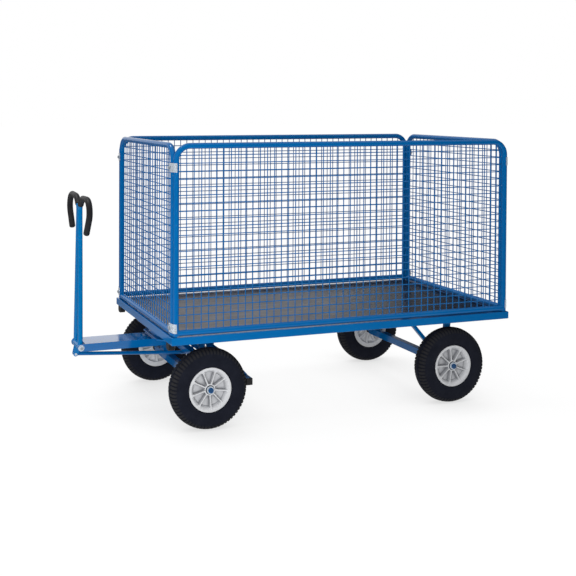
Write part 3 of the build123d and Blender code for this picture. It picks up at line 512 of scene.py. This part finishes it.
def galvanised(name, spangle_size, tone_level=1.0):
    """Zinc: crystal spangle in shade and gloss, and a dull film."""
    material, tree, shader, place = new_finish(name, 0.4, 0.4)
    cells = {"Vector": place, "Scale": 1 / spangle_size}
    crystals = node(tree, "ShaderNodeTexVoronoi", cells).outputs["Color"]
    spangle = node(tree, "ShaderNodeRGBToBW", {"Color": crystals}).outputs[0]
    film = speckle(tree, place, 60.0, 5.0)
    tone = calc(tree, "MULTIPLY", calc(tree, "ADD", spangle, film), 0.5)
    tint = (0.88, 0.985, 1.1)
    dull, bright = ([level * tone_level * part for part in tint] for level in (0.78, 0.87))
    zinc = shades(tree, tone, (0.25, dull), (0.75, bright))
    fed(tree, shader, {"Base Color": zinc, "Roughness": between(tree, tone, 0.2, 0.38)})
    raised(tree, shader, speckle(tree, place, 260.0, 2.0), 0.00008, 0.2)
    return material


dressed(["corner_clips"], "chassis", "galvanised_steel", galvanised("galvanised strip", 0.006), width=0.0008)
# Painted shade: the bolts' zinc is drawn at 0.55 of the strip's brightness, so their heads read darker.
shaded_bolt_zinc = galvanised("shaded bolt zinc", 0.0008, 0.55)

head_tree, given = tree_with("hexagon heads", Geometry=["Places"], Material=["Metal"],
                             Float=["Across flats", "Height", "Washer radius", "Washer thickness"])
head, head_sum = partial(geo, head_tree), partial(calc, head_tree)


def lifted(solid, height):
    """A solid of a fastener, raised by a height."""
    return head("Transform", {"Geometry": solid, "Translation": vector(head_tree, 0.0, 0.0, height)})


across, under = given["Across flats"], given["Washer thickness"]
washer = head("MeshCylinder", {"Vertices": 32, "Radius": given["Washer radius"], "Depth": under})
flat_share, crown_share = 0.82, 0.18
flat_part = head_sum("MULTIPLY", given["Height"], flat_share)
crown_part = head_sum("MULTIPLY", given["Height"], crown_share)
hexagon = head("MeshCylinder", {"Vertices": 6, "Radius": head_sum("DIVIDE", across, sqrt(3)),
                                "Depth": flat_part})
crown = head("MeshCone", {"Vertices": 24, "Radius Bottom": head_sum("MULTIPLY", across, 0.52),
                          "Radius Top": head_sum("MULTIPLY", across, 0.42), "Depth": crown_part})
washer_mid = head_sum("MULTIPLY", under, 0.5)
hexagon_mid = head_sum("ADD", under, head_sum("MULTIPLY", flat_part, 0.5))
fastener = united(head_tree, lifted(washer, washer_mid), lifted(hexagon, hexagon_mid),
                  lifted(crown, head_sum("ADD", under, flat_part)))
facing = head("InputNamedAttribute", {"Name": "facing"}, data_type="FLOAT_VECTOR")
head_turn = node(head_tree, "FunctionNodeAlignRotationToVector", {"Vector": facing}, axis="Z").outputs[0]
heads = head("InstanceOnPoints", {"Points": given["Places"], "Instance": fastener, "Rotation": head_turn})
end_tree(head_tree, heads, given["Metal"])


def hex_heads(places, across, height, washer_r, washer_t, metal):
    """Hexagon heads on washers, at places given as (point, direction)."""
    mesh = bpy.data.meshes.new("places")
    mesh.from_pydata([point for point, way in places], [], [])
    facing_ways = mesh.attributes.new("facing", "FLOAT_VECTOR", "POINT")
    facing_ways.data.foreach_set("vector", [part for point, way in places for part in way])
    sizes = {"Across flats": across, "Height": height, "Washer radius": washer_r,
             "Washer thickness": washer_t, "Metal": metal}
    return grown(head_tree, mesh, sizes, crease=25)


clip_face, clip_levels = 0.9978, (0.54, 1.342)
clip_places = [((deck_mid + end * clip_face, side * end_reach, level), (end, 0, 0))
               for end in (-1, 1) for side in (-1, 1) for level in clip_levels]
clip_heads = hex_heads(clip_places, across=0.016, height=0.0068, washer_r=0.0105, washer_t=0.0016,
                       metal=shaded_bolt_zinc)
piece("clip_bolt_heads", clip_heads, "chassis", "galvanised_steel", "clip_bolts")

# Rear axle and trestle: a 40 mm square axle tube hung from the deck by two raked braces and two struts.
# All are cut tube, welded together and painted with the deck.
painted(["rear_axle", "rear_braces", "rear_struts"], "chassis", width=0.002)

# Tyres: 416 mm pneumatic tyres (4.00-8) of black rubber with square shoulder lugs and a zigzag middle rib.
# One tread pitch is drawn, with its sidewall down to the bead, and repeated 64 times round the wheel.
turn_tree, given = tree_with("turned copies", Geometry=["Sector"], Int=["Copies"], Material=["Material"])
places = geo(turn_tree, "Points", {"Count": given["Copies"]})
number = geo(turn_tree, "InputIndex", {})
turn = calc(turn_tree, "DIVIDE", calc(turn_tree, "MULTIPLY", number, 2 * pi), given["Copies"])
spin = node(turn_tree, "FunctionNodeEulerToRotation", {0: vector(turn_tree, 0.0, turn, 0.0)}).outputs[0]
around = geo(turn_tree, "InstanceOnPoints", {"Points": places, "Instance": given["Sector"], "Rotation": spin})
around = geo(turn_tree, "RealizeInstances", {"Geometry": around})
around = geo(turn_tree, "MergeByDistance", {"Geometry": around, "Distance": 0.00002})
end_tree(turn_tree, around, given["Material"])


def sector(rows, marks):
    """A strip of a wheel from closed rows of (angle, radius, offset along the axle), with their marks."""
    points = [(radius * cos(angle), along, -radius * sin(angle))
              for row in rows for angle, radius, along in row]
    width, faces = len(rows[0]), []
    for i in range(len(rows)):
        here, there = i * width, (i + 1) % len(rows) * width
        faces += [(here + k, there + k, there + k + 1, here + k + 1) for k in range(width - 1)]
    mesh = bpy.data.meshes.new("sector")
    mesh.from_pydata(points, [], faces)
    if marks:
        mesh.attributes.new("mark", "FLOAT", "POINT").data.foreach_set("value", marks)
    return mesh


def turned(rows, copies, material, crease, marks=None):
    """A whole wheel part from one sector, with its faces turned outwards."""
    return outward(grown(turn_tree, sector(rows, marks), {"Copies": copies, "Material": material}, crease))


lugs, lug_depth, wheel_r = 64, 0.0038, 0.208
rib_wander, rib_edge = 0.0014, 0.0149
lug_steps = (0.0, 0.14, 0.19, 0.31, 0.36, 0.5, 0.64, 0.69, 0.81, 0.86, 1.0)
outer_gap = (0, 0, 0, 0, 1, 1, 1, 0, 0, 0, 0)
inner_gap = (1, 1, 0, 0, 0, 0, 0, 0, 0, 1, 1)
# Radius, offset from the middle and share of the lug depth, from the bead to the middle of the tread.
half_tyre = [(0.1146, 0.0384, 0), (0.1158, 0.0386, 0), (0.1174, 0.0405, 0), (0.1186, 0.0443, 0),
             (0.1205, 0.0462, 0), (0.1235, 0.0454, 0), (0.126, 0.0462, 0), (0.134, 0.0481, 0),
             (0.145, 0.0496, 0), (0.155, 0.05, 0), (0.165, 0.0495, 0), (0.174, 0.0483, 0), (0.1795, 0.0471, 0),
             (0.182, 0.0464, 0), (0.1832, 0.0466, 0.55), (0.188, 0.0446, 0.7), (0.1935, 0.0412, 0.85),
             (0.1975, 0.0374, 1), (0.2005, 0.033, 1), (0.203, 0.0275, 1), (0.2048, 0.0215, 1),
             (0.206, 0.0165, 1), (0.2063, 0.0148, 1), (0.2018, 0.0138, 0), (0.2018, 0.0098, 0),
             (0.2071, 0.0086, 0), (0.2076, 0.0045, 0)]
section_centre = (0.158, 0.0)
tyre_rows, tyre_wear = [], []
sided_rows = [(row, 1) for row in half_tyre] + [((wheel_r, 0.0, 0), 1)]
sided_rows += [(row, -1) for row in reversed(half_tyre)]
for (radius, along, share), side in sided_rows:
    along *= side
    gaps = outer_gap if side > 0 else inner_gap
    inward = Vector((section_centre[0] - radius, section_centre[1] - along)).normalized()
    row = []
    for step, gap in zip(lug_steps, gaps):
        cut = lug_depth * share * gap
        wander = rib_wander * sin(2 * pi * step) if 0 < abs(along) < rib_edge else 0.0
        row.append((2 * pi * step / lugs, radius + inward.x * cut, along + inward.y * cut + wander))
        tyre_wear.append(share * (1 - gap))
    tyre_rows.append(row)
bead_seat = [(0.1078, -0.0384), (0.0956, -0.0292), (0.0956, 0.0292), (0.1078, 0.0384)]
tyre_rows += [[(2 * pi * step / lugs, radius, along) for step in lug_steps] for radius, along in bead_seat]
tyre_wear += [0.0] * len(bead_seat) * len(lug_steps)


def dusted_and_shaded(tree, clean, dust_and_shade):
    """A colour toned where a wheel part's marks say so: dusty lugs on the tyre, painted shade in the rim's
    pockets.
    """
    mark = node(tree, "ShaderNodeAttribute", {}, attribute_name="mark").outputs["Fac"]
    layers = {0: mark, 6: clean, 7: (*dust_and_shade, 1)}
    return node(tree, "ShaderNodeMix", layers, data_type="RGBA").outputs[2]


def tyre_rubber():
    """Black rubber: dull grain, a cloudy shade, and dusty lug faces."""
    material, tree, shader, place = new_finish("tyre rubber", 0.7)
    cloud = speckle(tree, place, 18.0, 6.0)
    black = shades(tree, cloud, (0.3, (0.0095, 0.011, 0.0185)), (0.7, (0.0135, 0.0155, 0.025)))
    dusty = dusted_and_shaded(tree, black, (0.026, 0.026, 0.029))
    matt = between(tree, speckle(tree, place, 45.0, 6.0), 0.6, 0.78)
    fed(tree, shader, {"Base Color": dusty, "Roughness": matt, "Specular IOR Level": 0.12})
    raised(tree, shader, speckle(tree, place, 1400.0, 3.0), 0.00015, 0.7)
    return material


wheel_front, wheel_rear, wheel_y = -0.59105, 0.85095, 0.445
ends = {"front": (wheel_front, radians(7)), "rear": (wheel_rear, radians(-19))}


def hub(x, side, spin=0.0):
    """A wheel's place on its axle, with its outer face away from the cart."""
    place = Matrix.Translation((x, side * wheel_y, wheel_r)) @ Matrix.Rotation(spin, 4, "Y")
    return place if side > 0 else place @ Matrix.Rotation(pi, 4, "X")


wheels = {(end, name): hub(x, side, spin) for end, (x, spin) in ends.items()
          for name, side in (("far", 1), ("near", -1))}


def on_wheels(mesh, part, made, slot):
    """Stands a copy of a wheel part on each of the four wheels."""
    for (end, side), place in wheels.items():
        name = f"{end}_{side}_{part}"
        piece(f"{name}_{made}", moved(mesh.copy(), place), f"wheel_{end}_{side}", slot, name)


tyre = turned(tyre_rows, lugs, tyre_rubber(), crease=34, marks=tyre_wear)
on_wheels(tyre, "tyre", "lugged", "tyre_rubber")

# Wheel rims: moulded light grey plastic with nine spokes that flare into the lip, over a recessed web.
# One ninth is drawn as a closed section with the spoke's fillets in it, and repeated round the hub.
spokes = 9
half_sector = pi / spokes
# Outer side, then inner side: radius, height of the web, height of the spoke and half width of the spoke.
outer_rows = [(0.0292, 0.0355, 0.0362, 0.004), (0.0298, 0.0135, 0.0364, 0.0036),
              (0.031, 0.0105, 0.0365, 0.0033), (0.056, 0.0105, 0.0378, 0.003), (0.078, 0.0105, 0.0392, 0.003),
              (0.0852, 0.0107, 0.0398, 0.0032), (0.087, 0.0124, 0.04, 0.0034), (0.0884, 0.019, 0.0404, 0.0037),
              (0.0905, 0.0272, 0.041, 0.0042), (0.0935, 0.0336, 0.0416, 0.0049), (0.097, 0.0381, 0.0422, 0.006),
              (0.1002, 0.0412, 0.043, 0.0078), (0.1024, 0.043, 0.0436, 0.0103)]
inner_rows = [(0.087, -0.0365, -0.0372, 0.0102), (0.0868, -0.0265, -0.0302, 0.0096),
              (0.0866, -0.006, -0.03, 0.009), (0.085, 0.001, -0.03, 0.0072), (0.0805, 0.0035, -0.03, 0.0052),
              (0.06, 0.0035, -0.03, 0.0045), (0.037, 0.0035, -0.03, 0.0045), (0.0345, 0.002, -0.03, 0.0046),
              (0.0328, -0.002, -0.03, 0.0048), (0.0322, -0.027, -0.0302, 0.005)]
lip_rows = [(0.104, 0.0438), (0.1058, 0.044), (0.1118, 0.044), (0.1134, 0.0435), (0.1142, 0.0422),
            (0.1142, 0.0402), (0.1078, 0.0398), (0.0952, 0.0302), (0.0952, -0.04), (0.114, -0.0402),
            (0.114, -0.0432), (0.1128, -0.044), (0.0905, -0.044), (0.0885, -0.0433), (0.0878, -0.0415)]
hub_rows = [(0.032, -0.0315), (0.032, -0.034), (0.031, -0.035), (0.0236, -0.035), (0.0236, 0.0366),
            (0.024, 0.037), (0.0276, 0.037), (0.0286, 0.0365)]
spoke_round, spoke_edge, spoke_draft, spoke_fillet = 0.0009, 0.0002, 0.0008, 0.0024
round_share, edge_share, foot_share = 0.01, 0.04, 0.05
even_steps = (0.0, 0.1, 0.14, 0.2, 0.3, 0.42, 0.7, 1.0)


def mirrored(columns):
    """One sector's columns on both sides of the spoke's middle."""
    return [(-angle, radius, along) for angle, radius, along in reversed(columns[1:])] + columns


def ribbed(rows):
    """Rows of one sector of a webbed face, each with the spoke's section in its middle."""
    made = []
    for radius, web, top, half in rows:
        drop = top - web
        cut = half_sector * radius
        foot = half + spoke_fillet
        offsets = [(0.0, top), (half - spoke_round, top), (half - spoke_edge, top - round_share * drop),
                   (half, top - edge_share * drop), (half + spoke_draft, web + foot_share * drop),
                   (foot, web), ((foot + cut) / 2, web), (cut, web)]
        made.append(mirrored([(offset / radius, radius, up) for offset, up in offsets]))
    return made


def plain(rows):
    """Rows of one sector that run round the wheel unchanged."""
    return [mirrored([(half_sector * step, radius, up) for step in even_steps]) for radius, up in rows]


rim_rows = ribbed(outer_rows) + plain(lip_rows) + ribbed(inner_rows) + plain(hub_rows)
# Painted shade in the pockets, across a sector: none on the spoke tops, darkest at the feet of the spoke walls,
# lighter on the web.
pocket_shade_across = (0.0, 0.0, 0.05, 0.35, 0.95, 0.6, 0.24, 0.24)
pocket_shade_foot, pocket_shade_mouth, hub_foot = 0.0875, 0.094, 0.0312
corner_share, corner_band = 0.8, 0.002
rim_pocket_shade = [0.0] * len(rim_rows) * len(rim_rows[0])
# The painted shade fades out up each pocket's mouth, and is deeper at the feet of the pockets' outer and inner
# ends.
for i, (radius, web, top, half) in enumerate(outer_rows):
    fade = min(1.0, max(0.0, (pocket_shade_mouth - radius) / (pocket_shade_mouth - pocket_shade_foot)))
    in_corner = pocket_shade_foot - corner_band < radius <= pocket_shade_foot or radius < hub_foot
    dust_and_shade = [max(share, corner_share * (in_corner and k > 3)) * fade for k, share in enumerate(pocket_shade_across)]
    start = i * len(rim_rows[0])
    rim_pocket_shade[start:start + len(rim_rows[0])] = dust_and_shade[:0:-1] + dust_and_shade


def moulded(name, dark, light, roughness, grain, shine=0.4):
    """Moulded plastic or rubber: cloudy shade and a fine matt grain."""
    material, tree, shader, place = new_finish(name, roughness)
    colour = shades(tree, speckle(tree, place, 22.0, 4.0), (0.3, dark), (0.7, light))
    matt = between(tree, speckle(tree, place, 70.0, 5.0), roughness - 0.06, roughness + 0.06)
    fed(tree, shader, {"Base Color": colour, "Roughness": matt, "Specular IOR Level": shine})
    raised(tree, shader, speckle(tree, place, 1 / grain, 2.0), grain * 0.15, 0.6)
    return material


def rim_plastic():
    """Light grey moulded plastic, clean on the lip and spokes, with painted shade in the pockets."""
    material = moulded("rim plastic", (0.7, 0.71, 0.735), (0.77, 0.78, 0.8), 0.4, 0.0012)
    tree = material.node_tree
    shader = tree.nodes["Principled BSDF"]
    clean = shader.inputs["Base Color"].links[0].from_socket
    # Painted shade: the marked pockets are mixed towards a dark grey.
    fed(tree, shader, {"Base Color": dusted_and_shaded(tree, clean, (0.2, 0.207, 0.228))})
    return material


wheel_rim = turned(rim_rows, spokes, rim_plastic(), crease=38, marks=rim_pocket_shade)
on_wheels(wheel_rim, "rim", "moulded", "rim_plastic")
bearing_seal = moulded("bearing seal", (0.01, 0.01, 0.011), (0.018, 0.018, 0.02), 0.5, 0.001)
for end, side in wheels:
    bearing_finish = frame["nodes"][f"{end}_{side}_bearings"].data.materials
    bearing_finish.clear()
    bearing_finish.append(bearing_seal)

# Axle ends: a turned collar of zinc-plated steel keeps each wheel on its stub.
# A moulded blue plastic cap is pushed over the stub's end.
zinc_plate = galvanised("zinc plate", 0.0012)
lathe_sides = 48


def lathe(profile, material, crease=30):
    """A turned part on the wheel's axle, from (radius, offset along the axle) round its closed section."""
    rows = [[(0.0, radius, along), (2 * pi / lathe_sides, radius, along)] for radius, along in profile]
    return turned(rows, lathe_sides, material, crease)


collar = [(0.0103, 0.0373), (0.0192, 0.0373), (0.0196, 0.0378), (0.0196, 0.0452), (0.0188, 0.046),
          (0.0103, 0.046)]
cap = [(0.0, 0.0462), (0.0138, 0.0462), (0.014, 0.0466), (0.014, 0.0528), (0.0132, 0.0541), (0.0112, 0.0549),
       (0.006, 0.0555), (0.0, 0.0556)]
cap_plastic = moulded("blue cap plastic", (0.008, 0.06, 0.17), (0.014, 0.075, 0.205), 0.42, 0.0015)
for end, x, body in (("front", wheel_front, "bogie"), ("rear", wheel_rear, "chassis")):
    for part, profile, metal, slot in (("washers", collar, zinc_plate, "galvanised_steel"),
                                       ("caps", cap, cap_plastic, "blue_paint")):
        both_ends = joined(*(moved(lathe(profile, metal), hub(x, side)) for side in (1, -1)))
        piece(f"{end}_axle_{part}_turned", both_ends, body, slot, f"{end}_axle_{part}")

# Turntable: a square plate with a rolled skirt under the deck, turning on a race ring round the king pin.
# Plate steel, welded and painted, with zinc hexagon bolts up into the bearers.
painted(["turntable_plate", "king_pin"], "chassis", width=0.0015)
dressed(["king_nut"], "chassis", "galvanised_steel", zinc_plate, width=0.001)
painted(["turntable_race"], "bogie", width=0.0015)
table_low, table_track = 0.423, 0.155
table_places = [((wheel_front + x * table_track, y * table_track, table_low), (0, 0, -1))
                for x in (-1, 1) for y in (-1, 1)]
table_heads = hex_heads(table_places, across=0.019, height=0.006, washer_r=0.0115, washer_t=0.0015,
                        metal=zinc_plate)
piece("turntable_bolt_heads", table_heads, "chassis", "galvanised_steel", "turntable_bolts")

# Buffers: blocks of moulded black rubber with a rounded foot.
# One is fixed under each front corner of the rim, clear of the steered tyres.
buffer_rubber = moulded("buffer rubber", (0.008, 0.008, 0.009), (0.016, 0.016, 0.018), 0.62, 0.001)
dressed(["corner_buffers"], "chassis", "black_rubber", buffer_rubber, width=0.002)

# Drawbar arm and bogie: a folded channel, open below, that carries the handle's hinge in two rounded ears.
# Bogie plate, bolster, pedestals, front axle and brake brackets are welded under it and painted with it.
# The arm's wide flat top shows a glossier coat than the tubes do.
arm_paint = powder_coat("glossy powder coat", *blues, gloss=1.0)
dressed(["drawbar_arm"], "bogie", "blue_paint", arm_paint, width=0.0016)
painted(["bogie_plate", "bolster", "pedestals", "front_axle", "brake_brackets"], "bogie", width=0.0016)

# Handle hinge: a zinc-plated M16 bolt through both ears and the handle's sleeve.
# A wide washer lies under its head and under its nut, and the bolt's end stands out past the nut.
hinge = Vector((-1.16505, 0.0, 0.3655))
ear_face = 0.075
hinge_places = [((hinge.x, side * ear_face, hinge.z), (0, side, 0)) for side in (-1, 1)]
bolt_tip = [(0.0, 0.08), (0.008, 0.08), (0.008, 0.0885), (0.0068, 0.0898), (0.0, 0.0898)]
bolt_end = moved(lathe(bolt_tip, shaded_bolt_zinc), Matrix.Translation(hinge) @ Matrix.Rotation(pi, 4, "X"))
hinge_heads = hex_heads(hinge_places, across=0.024, height=0.0095, washer_r=0.0165, washer_t=0.0025,
                        metal=zinc_plate)
piece("hinge_bolt_ends", joined(hinge_heads, bolt_end), "bogie", "galvanised_steel", "hinge_bolt", "hinge_nut")

# Handle: two legs of 27 mm tube rise from a sleeve on the hinge, meet, and part again into two ram's horns.
# Tubes are bent, welded to each other and to the sleeve, and painted. Two lever plates below work the brake.
handle_lean = Matrix.Translation(hinge) @ Matrix.Rotation(radians(0.5), 4, "Y")
leg_r, sleeve_r, sleeve_half = 0.0135, 0.018, 0.0707
leg_foot, fork_bead = 0.0492, 0.0075
fork_steps_mm = range(724, 752, 2)
# Offset to the side, height above the hinge and bend radius, from the sleeve to the tip.
horn_line = [(0.05, 0.0, 0.0), (0.0142, 0.74, 0.04), (0.063, 0.792, 0.065), (0.293, 0.799, 0.065),
             (0.167, 0.619, 0.0)]
horns = [[((0.0, side * out, up), bend) for out, up, bend in horn_line] for side in (-1, 1)]
sleeve = [((0.0, -sleeve_half, 0.0), 0.0), ((0.0, sleeve_half, 0.0), 0.0)]
leg_seams = [[(leg_r * cos(a), side * (leg_foot + leg_r * sin(a)), sqrt(sleeve_r**2 - (leg_r * cos(a))**2))
              for a in round_turns] for side in (-1, 1)]
fork_seam = [[(x, 0.0, up / 1000) for up in fork_steps_mm] for x in (-fork_bead, fork_bead)]
handle_paint = powder_coat("handle powder coat", (0.0, 0.165, 0.45), (0.0, 0.19, 0.51), (0.005, 0.215, 0.55))
handle_tubes = joined(tube(leg_r, *horns, sides=28, material=handle_paint),
                      tube(sleeve_r, sleeve, sides=32, material=handle_paint),
                      bead(*leg_seams, *fork_seam, material=handle_paint))
moved(handle_tubes, handle_lean)


def link_plate(start, end, start_r, end_r, y_from, y_to, material):
    """A lever plate with two rounded ends, cut from flat bar, between two values of Y."""
    start, end = Vector(start), Vector(end)
    run = end - start
    heading = run.angle_signed(Vector((1, 0)))
    splay = pi / 2 - (start_r - end_r) / run.length
    outline, arc_steps = [], 16
    for centre, radius, first, last in ((start, start_r, heading + splay, heading + 2 * pi - splay),
                                        (end, end_r, heading - splay, heading + splay)):
        for i in range(arc_steps + 1):
            angle = first + (last - first) * i / arc_steps
            outline.append((centre.x + radius * cos(angle), centre.y + radius * sin(angle)))
    chamfer, count = 0.0008, len(outline)
    middle = (start + end) / 2
    rings = []
    for y, shrink in ((y_from, chamfer), (y_from + chamfer, 0.0), (y_to - chamfer, 0.0), (y_to, chamfer)):
        ring = []
        for x, z in outline:
            pull = (middle - Vector((x, z))).normalized() * shrink
            ring.append((x + pull.x, y, z + pull.y))
        rings.append(ring)
    points = [point for ring in rings for point in ring]
    faces = [tuple(range(count)), tuple(range(3 * count, 4 * count))]
    for k in range(3):
        faces += band(k * count, (k + 1) * count, count)
    return skinned("lever plate", points, faces, material)


lever_pin = (-1.18105, 0.3195)
lever_gap, lever_plate, lever_end = 0.011, 0.006, 0.012
levers = []
for side in (-1, 1):
    y_from, y_to = sorted((side * lever_gap, side * (lever_gap + lever_plate)))
    levers.append(link_plate((hinge.x, hinge.z), lever_pin, sleeve_r, lever_end, y_from, y_to, handle_paint))
piece("handle_tubes", joined(handle_tubes, *levers), "handle", "blue_paint", "handle_frame")

# Grips: soft black rubber tube with a closed rounded end.
# One is pushed over each horn, from just past the fork to past its tip.
grip_r, grip_start = 0.0165, 0.021
(fork_y, fork_z, _), (rise_y, rise_z, _) = horn_line[1:3]
rise = Vector((rise_y - fork_y, rise_z - fork_z)).normalized() * grip_start
grip_line = [(fork_y + rise.x, fork_z + rise.y, 0.0), *horn_line[2:]]
grip_rubber = moulded("grip rubber", (0.012, 0.012, 0.014), (0.019, 0.0185, 0.0215), 0.5, 0.0008, 0.25)
for side, name in ((-1, "near_grip"), (1, "far_grip")):
    line = [((0.0, side * out, up), bend) for out, up, bend in grip_line]
    sleeve_skin = tube(grip_r, line, sides=36, domed=True, material=grip_rubber)
    piece(name + "_sleeve", moved(sleeve_skin, handle_lean), "handle", "grip_rubber", name)

# Parking brake: the handle's lever pushes a round rod to a crank on a cross shaft.
# Two arms on the shaft carry a square bar that bears on both front tyres.
# Welded and painted steel, with plain zinc pins and black plastic plugs in the bar's ends.
pin_profile = [(0.0, -0.0205), (0.0062, -0.0205), (0.007, -0.0198), (0.007, -0.0175), (0.0049, -0.0174),
               (0.0049, 0.0186), (0.0042, 0.0195), (0.0, 0.0195)]
pin = moved(lathe(pin_profile, zinc_plate), Matrix.Translation((lever_pin[0], 0, lever_pin[1])))
piece("brake_pin_turned", pin, "handle", "galvanised_steel", "brake_pin")
painted(["brake_rod"], "brake_rod", width=0.0008)
painted(["brake_shaft", "brake_arms", "brake_bar"], "brake_frame", width=0.0012)
dressed(["brake_crank_pin"], "brake_frame", "galvanised_steel", zinc_plate, width=0.0008)
plug_plastic = moulded("plug plastic", (0.008, 0.008, 0.009), (0.014, 0.014, 0.015), 0.45, 0.0012)
dressed(["brake_bar_caps"], "brake_frame", "black_plastic", plug_plastic, width=0.001)

# Studio: a plain pale floor that keeps the cart's soft shadow, partly lit and partly painted from ambient
# occlusion, and white all round.
# One broad soft lamp hangs overhead, and a softbox stands before the drawbar's side.
floor_half = 60.0
floor_corners = [(x * floor_half, y * floor_half, 0.0) for x, y in ((-1, -1), (1, -1), (1, 1), (-1, 1))]
floor_mesh = bpy.data.meshes.new("floor")
floor_mesh.from_pydata(floor_corners, [], [(0, 1, 2, 3)])
floor = in_scene("floor", floor_mesh)
floor_paper, tree, shader, place = new_finish("floor paper", 0.9)
fed(tree, shader, {"Base Color": (0.52, 0.52, 0.52, 1)})


def seen(tree):
    """Two numbers in a tree: 1 for camera rays, and 1 for rays that a glossy or clear surface sends on."""
    rays = node(tree, "ShaderNodeLightPath", {}).outputs
    return rays["Is Camera Ray"], calc(tree, "MAXIMUM", rays["Is Glossy Ray"], rays["Is Transmission Ray"])


shown, mirrored_ray = seen(tree)
depth = node(tree, "ShaderNodeSeparateXYZ", {0: place}).outputs["Y"]
# Painted shadow: the white the camera sees on the floor is darkened by ambient occlusion near the wheels and
# under the cart.
painted_contact_shade = node(tree, "ShaderNodeAmbientOcclusion", {"Distance": 0.5}).outputs["AO"]
shown_white = calc(tree, "MULTIPLY", shown, between(tree, painted_contact_shade, 0.81, 1.11, 0.25, 0.9))
near_sheet = between(tree, depth, 0.03, 0.7, -2.1, -1.4)
far_sheet = between(tree, depth, 1.0, 0.25, 0.6, 3.2)
mirrored_white = calc(tree, "MULTIPLY", mirrored_ray, calc(tree, "MULTIPLY", near_sheet, far_sheet))
white = calc(tree, "ADD", shown_white, mirrored_white)
glow = node(tree, "ShaderNodeEmission", {"Color": (1, 1, 1, 1), "Strength": white})
share = calc(tree, "ADD", calc(tree, "MULTIPLY", shown, 0.86), mirrored_ray)
mixed = node(tree, "ShaderNodeMixShader", {0: share, 1: shader.outputs[0], 2: glow.outputs[0]}).outputs[0]
fed(tree, tree.nodes["Material Output"], {"Surface": mixed})
floor_mesh.materials.append(floor_paper)

scene.world = world = bpy.data.worlds.new("white studio")
world.use_nodes = True
tree = world.node_tree
shown, mirrored_ray = seen(tree)
outlook = tree.nodes.new("ShaderNodeTexCoord").outputs["Generated"]
way = node(tree, "ShaderNodeSeparateXYZ", {0: outlook}).outputs
heading = calc(tree, "ARCTAN2", way["X"], way["Y"])
screen = calc(tree, "MULTIPLY", between(tree, heading, 1.0, 0.03, radians(27), radians(34.5)),
              between(tree, heading, 0.25, 1.0, radians(-60), radians(-30)))
room = calc(tree, "MAXIMUM", screen, between(tree, way["Z"], 0.0, 0.8, 0.4, 0.85))
white = calc(tree, "ADD", shown, calc(tree, "MULTIPLY", mirrored_ray, room))
backdrop = fed(tree, tree.nodes["Background"], {"Color": (1, 1, 1, 1), "Strength": white}).outputs[0]
soft_fill = node(tree, "ShaderNodeBackground", {"Color": (1, 1, 1, 1), "Strength": 0.38}).outputs[0]
share = calc(tree, "ADD", shown, mirrored_ray)
both = node(tree, "ShaderNodeMixShader", {0: share, 1: soft_fill, 2: backdrop}).outputs[0]
fed(tree, tree.nodes["World Output"], {"Surface": both})

lamp = bpy.data.lights.new("overhead lamp", "SUN")
lamp.energy, lamp.angle = 1.1, radians(22)
overhead = in_scene("overhead lamp", lamp)
lamp_way = Vector((0.3, -0.25, -1.0))
overhead.rotation_euler = lamp_way.to_track_quat("-Z", "Y").to_euler()
lamp = bpy.data.lights.new("key softbox", "AREA")
lamp.energy, lamp.size = 90.0, 1.3
softbox = in_scene("key softbox", lamp)
softbox_place, softbox_aim = Vector((-2.3, -3.9, 1.0)), Vector((-0.4, 0.0, 0.6))
softbox.location = softbox_place
softbox.rotation_euler = (softbox_aim - softbox_place).to_track_quat("-Z", "Y").to_euler()
softbox.visible_camera = softbox.visible_glossy = False

# Camera: a long lens from the drawbar's left, a little above the walls.
# Its place, turn and shift were fitted to the photograph's edges, in pixels of the photograph.
focal_px, frame_px, shift_px = 945.63, 576, (118, -168)
yaw, pitch, roll = radians(18.504), radians(-1.036), radians(0.175)
ahead = Vector((sin(yaw) * cos(pitch), cos(yaw) * cos(pitch), sin(pitch)))
right = Vector((cos(yaw), -sin(yaw), 0.0))
up = right.cross(ahead)
right, up = right * cos(roll) + up * sin(roll), up * cos(roll) - right * sin(roll)
lens = bpy.data.cameras.new("camera")
lens.sensor_width = 36.0
lens.lens = focal_px / frame_px * lens.sensor_width
lens.shift_x, lens.shift_y = (shift / frame_px for shift in shift_px)
lens.clip_end = 200.0
camera = in_scene("camera", lens)
camera.matrix_world = Matrix((right, up, -ahead)).transposed().to_4x4()
camera.location = (deck_mid - 2.49331, -4.94361, 1.6639)
scene.camera = camera
